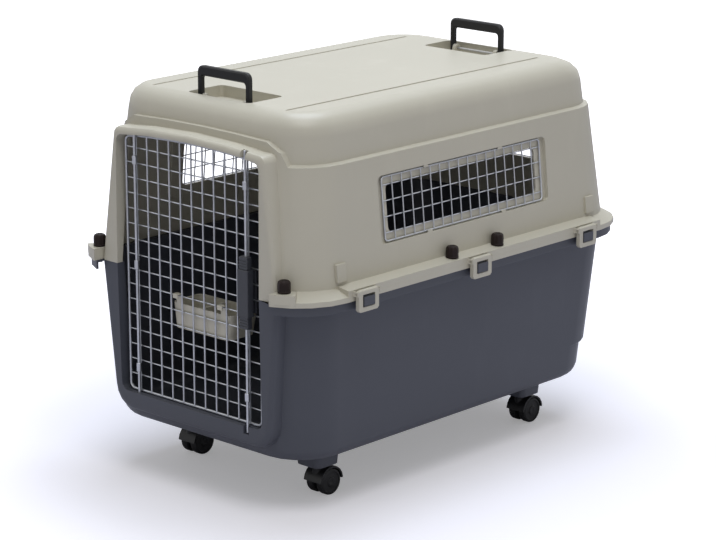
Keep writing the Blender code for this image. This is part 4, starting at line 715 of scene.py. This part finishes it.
class CRATE_OT_grilles(bpy.types.Operator):
    """Make the wire grilles of the three windows"""

    bl_idname = "crate.grilles"
    bl_label = "Window grilles"

    def execute(self, context):
        """Carry round wires along each grille's frame and bars, in the plane of its wall."""
        wires = context.scene.crate_wires
        radius, tall = wires.grille_radius, WINDOW_HALF_HEIGHT
        front = GRILLE_DEPTH + radius + LAYER_GAP
        back = GRILLE_DEPTH - radius - LAYER_GAP
        rows = (np.arange(WINDOW_ROWS) - (WINDOW_ROWS - 1) / 2) * WINDOW_ROW_PITCH
        for side, angle, gaps, reach, slope, place in WINDOWS:
            half = gaps * WINDOW_PITCH / 2
            matrix = (Matrix.Translation((0, SHIFT, 0))
                      @ Matrix.Rotation(math.radians(angle), 4, "Z")
                      @ Matrix.Translation((reach, place, WINDOW_Z))
                      @ Matrix.Rotation(-math.atan(slope), 4, "Y"))
            outline = rounded_rectangle(-half, half, -tall, tall, WINDOW_CORNER, 5)
            path = np.column_stack([np.full(len(outline), GRILLE_DEPTH), outline])
            ring = ring_of_wire(path, wires.grille_frame_radius, wires.sides, (1, 0, 0))
            columns = np.arange(1, gaps) * WINDOW_PITCH - half
            bars = [straight((front, y, -tall), (front, y, tall), radius, THIN_SIDES)
                    for y in columns]
            bars += [straight((back, -half, z), (back, half, z), radius, THIN_SIDES)
                     for z in rows]
            bars += welds(columns, rows, lambda y, z: np.array((GRILLE_DEPTH, y, z)), WINDOW_WELD)
            skin = Skin().add(moved(ring, matrix), close_rows=True)
            for bar in bars:
                skin.add(moved(bar, matrix))
            node = "window_grille_" + side
            place_piece("window_mesh_" + side, skin.mesh(node), finishes()["zinc"], "crate",
                        node)
        return {"FINISHED"}


class CRATE_OT_latch(bpy.types.Operator):
    """Make the latch"""

    bl_idname = "crate.latch"
    bl_label = "Latch"

    def execute(self, context):
        """Round the edges of the housing, plate and tabs, and turn the rods."""
        for node in ("latch_body", "latch_back_plate", "latch_tab_upper", "latch_tab_lower"):
            eased(node, finishes()["latch"], LATCH_EDGE)
        for label in ("upper", "lower"):
            rod_piece("latch_rod_" + label, "latch_" + label)
        return {"FINISHED"}


class CRATE_OT_bowl(bpy.types.Operator):
    """Make the bowl"""

    bl_idname = "crate.bowl"
    bl_label = "Bowl"

    def execute(self, context):
        """Round the edges of the two cups and the hooks."""
        eased("bowl", finishes()["beige"], BOWL_EDGE)
        return {"FINISHED"}


class CRATE_OT_handles(bpy.types.Operator):
    """Make the two handles"""

    bl_idname = "crate.handles"
    bl_label = "Handles"

    def execute(self, context):
        """Round the edges of the grips and turn their pins."""
        for end in ("front", "rear"):
            eased("handle_" + end, finishes()["black"], HANDLE_EDGE)
            node = "handle_pin_" + end
            low, high = span(node)
            _, y, z = middle(node)
            radius = (high[2] - low[2]) / 2
            skin = Skin().add(straight((low[0], y, z), (high[0], y, z), radius, 16, 0.0005))
            place_piece("pin_" + end, skin.mesh(node), finishes()["steel"], "crate",
                        node)
        return {"FINISHED"}


class CRATE_OT_clips(bpy.types.Operator):
    """Make the clips"""

    bl_idname = "crate.clips"
    bl_label = "Clips"

    def execute(self, context):
        """Round the edges of the clips."""
        for clip in CLIPS:
            eased("clip_" + clip, finishes()["beige"], CLIP_EDGE)
        return {"FINISHED"}


class CRATE_OT_knobs(bpy.types.Operator):
    """Make the knob nuts and dress their bolts"""

    bl_idname = "crate.knobs"
    bl_label = "Knob nuts"

    def execute(self, context):
        """Turn lobed knobs with a skirt, a rounded shoulder and a sunk top."""
        lobes = context.scene.crate_hardware.knob_lobes
        for knob in KNOBS:
            node = "knob_" + knob
            low, high = span(node)
            x, y, _ = middle(node)
            profile = self.profile((high[0] - low[0]) / 2, high[2] - low[2])
            skin = Skin().add(lathe(profile, 6 * lobes, lobes) + np.array((x, y, low[2])))
            place_piece("knob_nut_" + knob, skin.mesh(node), finishes()["knob"], "crate",
                        node)
            dress("bolt_" + knob, finishes()["steel"])
        return {"FINISHED"}

    @staticmethod
    def profile(radius, tall):
        """Bore and skirt in metres, then the lobed body as shares of the radius and height."""
        skirt = [(KNOB_BORE, KNOB_BORE_DEPTH, 0), (KNOB_BORE, 0.0, 0), (radius * 0.97, 0.0, 0),
                 (radius, 0.0006, 0), (radius, 0.0028, 0), (radius * 0.93, 0.0036, 0.02),
                 (radius * 0.93, 0.0050, KNOB_LOBE)]
        body = ((0.94, 0.55, KNOB_LOBE), (0.92, 0.78, KNOB_LOBE), (0.86, 0.90, 0.05),
                (0.74, 0.97, 0.03), (0.58, 1.0, 0), (0.44, 0.985, 0), (0.36, 0.94, 0),
                (0.10, 0.93, 0))
        return skirt + [(radius * out, tall * up, swell) for out, up, swell in body]


class CRATE_OT_casters(bpy.types.Operator):
    """Make the casters"""

    bl_idname = "crate.casters"
    bl_label = "Casters"

    def execute(self, context):
        """Turn the wheels, round the edges of the hoods and dress the stems."""
        ribs = context.scene.crate_hardware.wheel_ribs
        for caster in CASTERS:
            dress("caster_stem_" + caster, finishes()["steel"])
            hood = "caster_hood_" + caster
            eased(hood, finishes()["black"], HOOD_EDGE)
            for side in ("outer", "inner"):
                self.wheel("caster_wheel_%s_%s" % (caster, side), middle(hood)[0], ribs)
        return {"FINISHED"}

    @staticmethod
    def wheel(node, web, ribs):
        """A wheel turned about X: rounded tread, sunk disc with waves of ribs, hub, blind bore."""
        low, high = span(node)
        _, y, radius = middle(node)
        wide = high[0] - low[0]
        profile = [(WHEEL_BORE, wide - WHEEL_BORE_FLOOR, 0), (WHEEL_BORE, 0.0, 0),
                   (radius - 0.004, 0.0, 0), (radius - 0.0022, 0.0003, 0),
                   (radius - 0.0007, 0.0012, 0), (radius, 0.0030, 0), (radius, wide - 0.0032, 0),
                   (radius - 0.0007, wide - 0.0014, 0), (radius - 0.0022, wide - 0.0004, 0),
                   (radius - 0.0034, wide, 0), (radius - 0.0046, wide, 0),
                   (radius - 0.0054, wide - 0.0016, 0),
                   (WHEEL_DISC_OUTER, wide - WHEEL_DISC_DEPTH, WHEEL_RIB),
                   (WHEEL_DISC_INNER, wide - WHEEL_DISC_DEPTH, WHEEL_RIB),
                   (0.0090, wide - 0.0014, 0), (0.0082, wide - 0.0002, 0), (0.0070, wide, 0),
                   (0.0030, wide, 0), (0.0022, wide - 0.0004, 0)]
        grid = lathe(profile, 4 * ribs + 4, ribs)
        outwards = 1 if (low[0] + high[0]) / 2 > web else -1
        start = low[0] if outwards > 0 else high[0]
        placed = np.stack([start + outwards * grid[:, :, 2], y + grid[:, :, 0],
                           radius + grid[:, :, 1]], 2)
        place_piece(node.replace("caster_", ""), Skin().add(placed).mesh(node),
                    finishes()["tread"], BODY[node], node, 30.0)


# Stage

def area_lamp(name, power, place, target, size, colour):
    """A square lamp that shines at a target."""
    data = bpy.data.lights.new(name, "AREA")
    data.size = size
    data.energy = power
    data.color = colour
    lamp = bpy.data.objects.new(name, data)
    bpy.context.scene.collection.objects.link(lamp)
    lamp.location = place
    direction = Vector(target) - lamp.location
    lamp.rotation_euler = direction.to_track_quat("-Z", "Y").to_euler()


class CRATE_OT_stage(bpy.types.Operator):
    """Make the floor, the light and the camera"""

    bl_idname = "crate.stage"
    bl_label = "Stage"

    def execute(self, context):
        """A white floor that keeps the shadow, an even sky, two soft lamps and the camera."""
        settings = context.scene.crate_stage
        self.floor()
        self.sky(settings.sky)
        for name, power, place, target, size, colour in LAMPS:
            area_lamp(name, getattr(settings, power), place, target, size, colour)
        self.camera(settings)
        context.scene.view_settings.view_transform = "Standard"
        return {"FINISHED"}

    @staticmethod
    def floor():
        """A flat square that glows for the camera alone, more so further from the crate; its dimmer
        glow near the crate is painted shade.
        """
        grid = np.array([[-1, -1, 0], [1, -1, 0], [1, 1, 0], [-1, 1, 0]], float) * FLOOR_HALF
        data = bpy.data.meshes.new("floor")
        data.from_pydata(grid, [], [(0, 1, 2, 3)])
        floor = bpy.data.objects.new("floor", data)
        bpy.context.scene.collection.objects.link(floor)
        finish = Finish("floor_white", FLOOR_COLOUR, roughness=1.0, specular=0.0)
        away = finish.node("VectorMath", {"operation": "LENGTH"}, {0: finish.place}, "Value")
        glow = finish.node("MapRange", None, {"Value": away, "From Min": GLOW_NEAR,
                                              "From Max": GLOW_FAR, "To Min": GLOW_PAINTED_SHADE,
                                              "To Max": 1.0})
        finish.give("Emission Strength", 1.0)
        # Camera ray times the glow ramp: painted shade where the floor near the crate glows less
        finish.give("Emission Color", finish.node("LightPath", output="Is Camera Ray") * glow)
        data.materials.append(finish.material)

    @staticmethod
    def sky(strength):
        """An even pale sky, white where the camera or a reflection shows it."""
        world = bpy.data.worlds.new("studio")
        bpy.context.scene.world = world
        world.use_nodes = True
        tree = world.node_tree
        background = tree.nodes["Background"]
        path = tree.nodes.new("ShaderNodeLightPath")
        bright = tree.nodes.new("ShaderNodeMath")
        bright.operation = "MAXIMUM"
        tree.links.new(path.outputs["Is Camera Ray"], bright.inputs[0])
        tree.links.new(path.outputs["Is Glossy Ray"], bright.inputs[1])
        level = tree.nodes.new("ShaderNodeMapRange")
        level.inputs["To Min"].default_value = strength
        level.inputs["To Max"].default_value = 1.0
        tree.links.new(bright.outputs[0], level.inputs["Value"])
        tree.links.new(level.outputs[0], background.inputs["Strength"])
        background.inputs["Color"].default_value = (1.0, 1.0, 1.0, 1.0)

    @staticmethod
    def camera(settings):
        """The camera at the photo's place, with the photo's field of view."""
        data = bpy.data.cameras.new("camera")
        data.lens = settings.lens
        data.sensor_width = SENSOR_WIDTH
        data.clip_end = 100.0
        camera = bpy.data.objects.new("camera", data)
        bpy.context.scene.collection.objects.link(camera)
        camera.location = CAMERA_PLACE
        camera.rotation_euler = (math.pi / 2 - settings.elevation, 0.0, settings.azimuth)
        bpy.context.scene.camera = camera


OPERATORS = (CRATE_OT_shells, CRATE_OT_door, CRATE_OT_grilles, CRATE_OT_latch, CRATE_OT_bowl,
             CRATE_OT_handles, CRATE_OT_clips, CRATE_OT_knobs, CRATE_OT_casters, CRATE_OT_stage)


class CRATE_PT_panel(bpy.types.Panel):
    """Settings and operators of the crate"""

    bl_idname = "CRATE_PT_panel"
    bl_label = "Dog travel crate"
    bl_space_type = "VIEW_3D"
    bl_region_type = "UI"
    bl_category = "Crate"

    def draw(self, context):
        """List every setting, then a button for each operator."""
        for key, group in GROUPS:
            settings = getattr(context.scene, key)
            box = self.layout.box()
            for name in group.__annotations__:
                box.prop(settings, name)
        for operator in OPERATORS:
            self.layout.operator(operator.bl_idname)


def register():
    """Add the settings, operators and panel."""
    for key, group in GROUPS:
        bpy.utils.register_class(group)
        setattr(bpy.types.Scene, key, PointerProperty(type=group))
    for item in (*OPERATORS, CRATE_PT_panel):
        bpy.utils.register_class(item)


def unregister():
    """Take them away again."""
    for item in (CRATE_PT_panel, *reversed(OPERATORS)):
        bpy.utils.unregister_class(item)
    for key, group in reversed(GROUPS):
        delattr(bpy.types.Scene, key)
        bpy.utils.unregister_class(group)


def main():
    """Make every piece in order."""
    register()
    bpy.ops.crate.shells()
    bpy.ops.crate.door()
    bpy.ops.crate.grilles()
    bpy.ops.crate.latch()
    bpy.ops.crate.bowl()
    bpy.ops.crate.handles()
    bpy.ops.crate.clips()
    bpy.ops.crate.knobs()
    bpy.ops.crate.casters()
    bpy.ops.crate.stage()


if __name__ == "__main__":
    main()
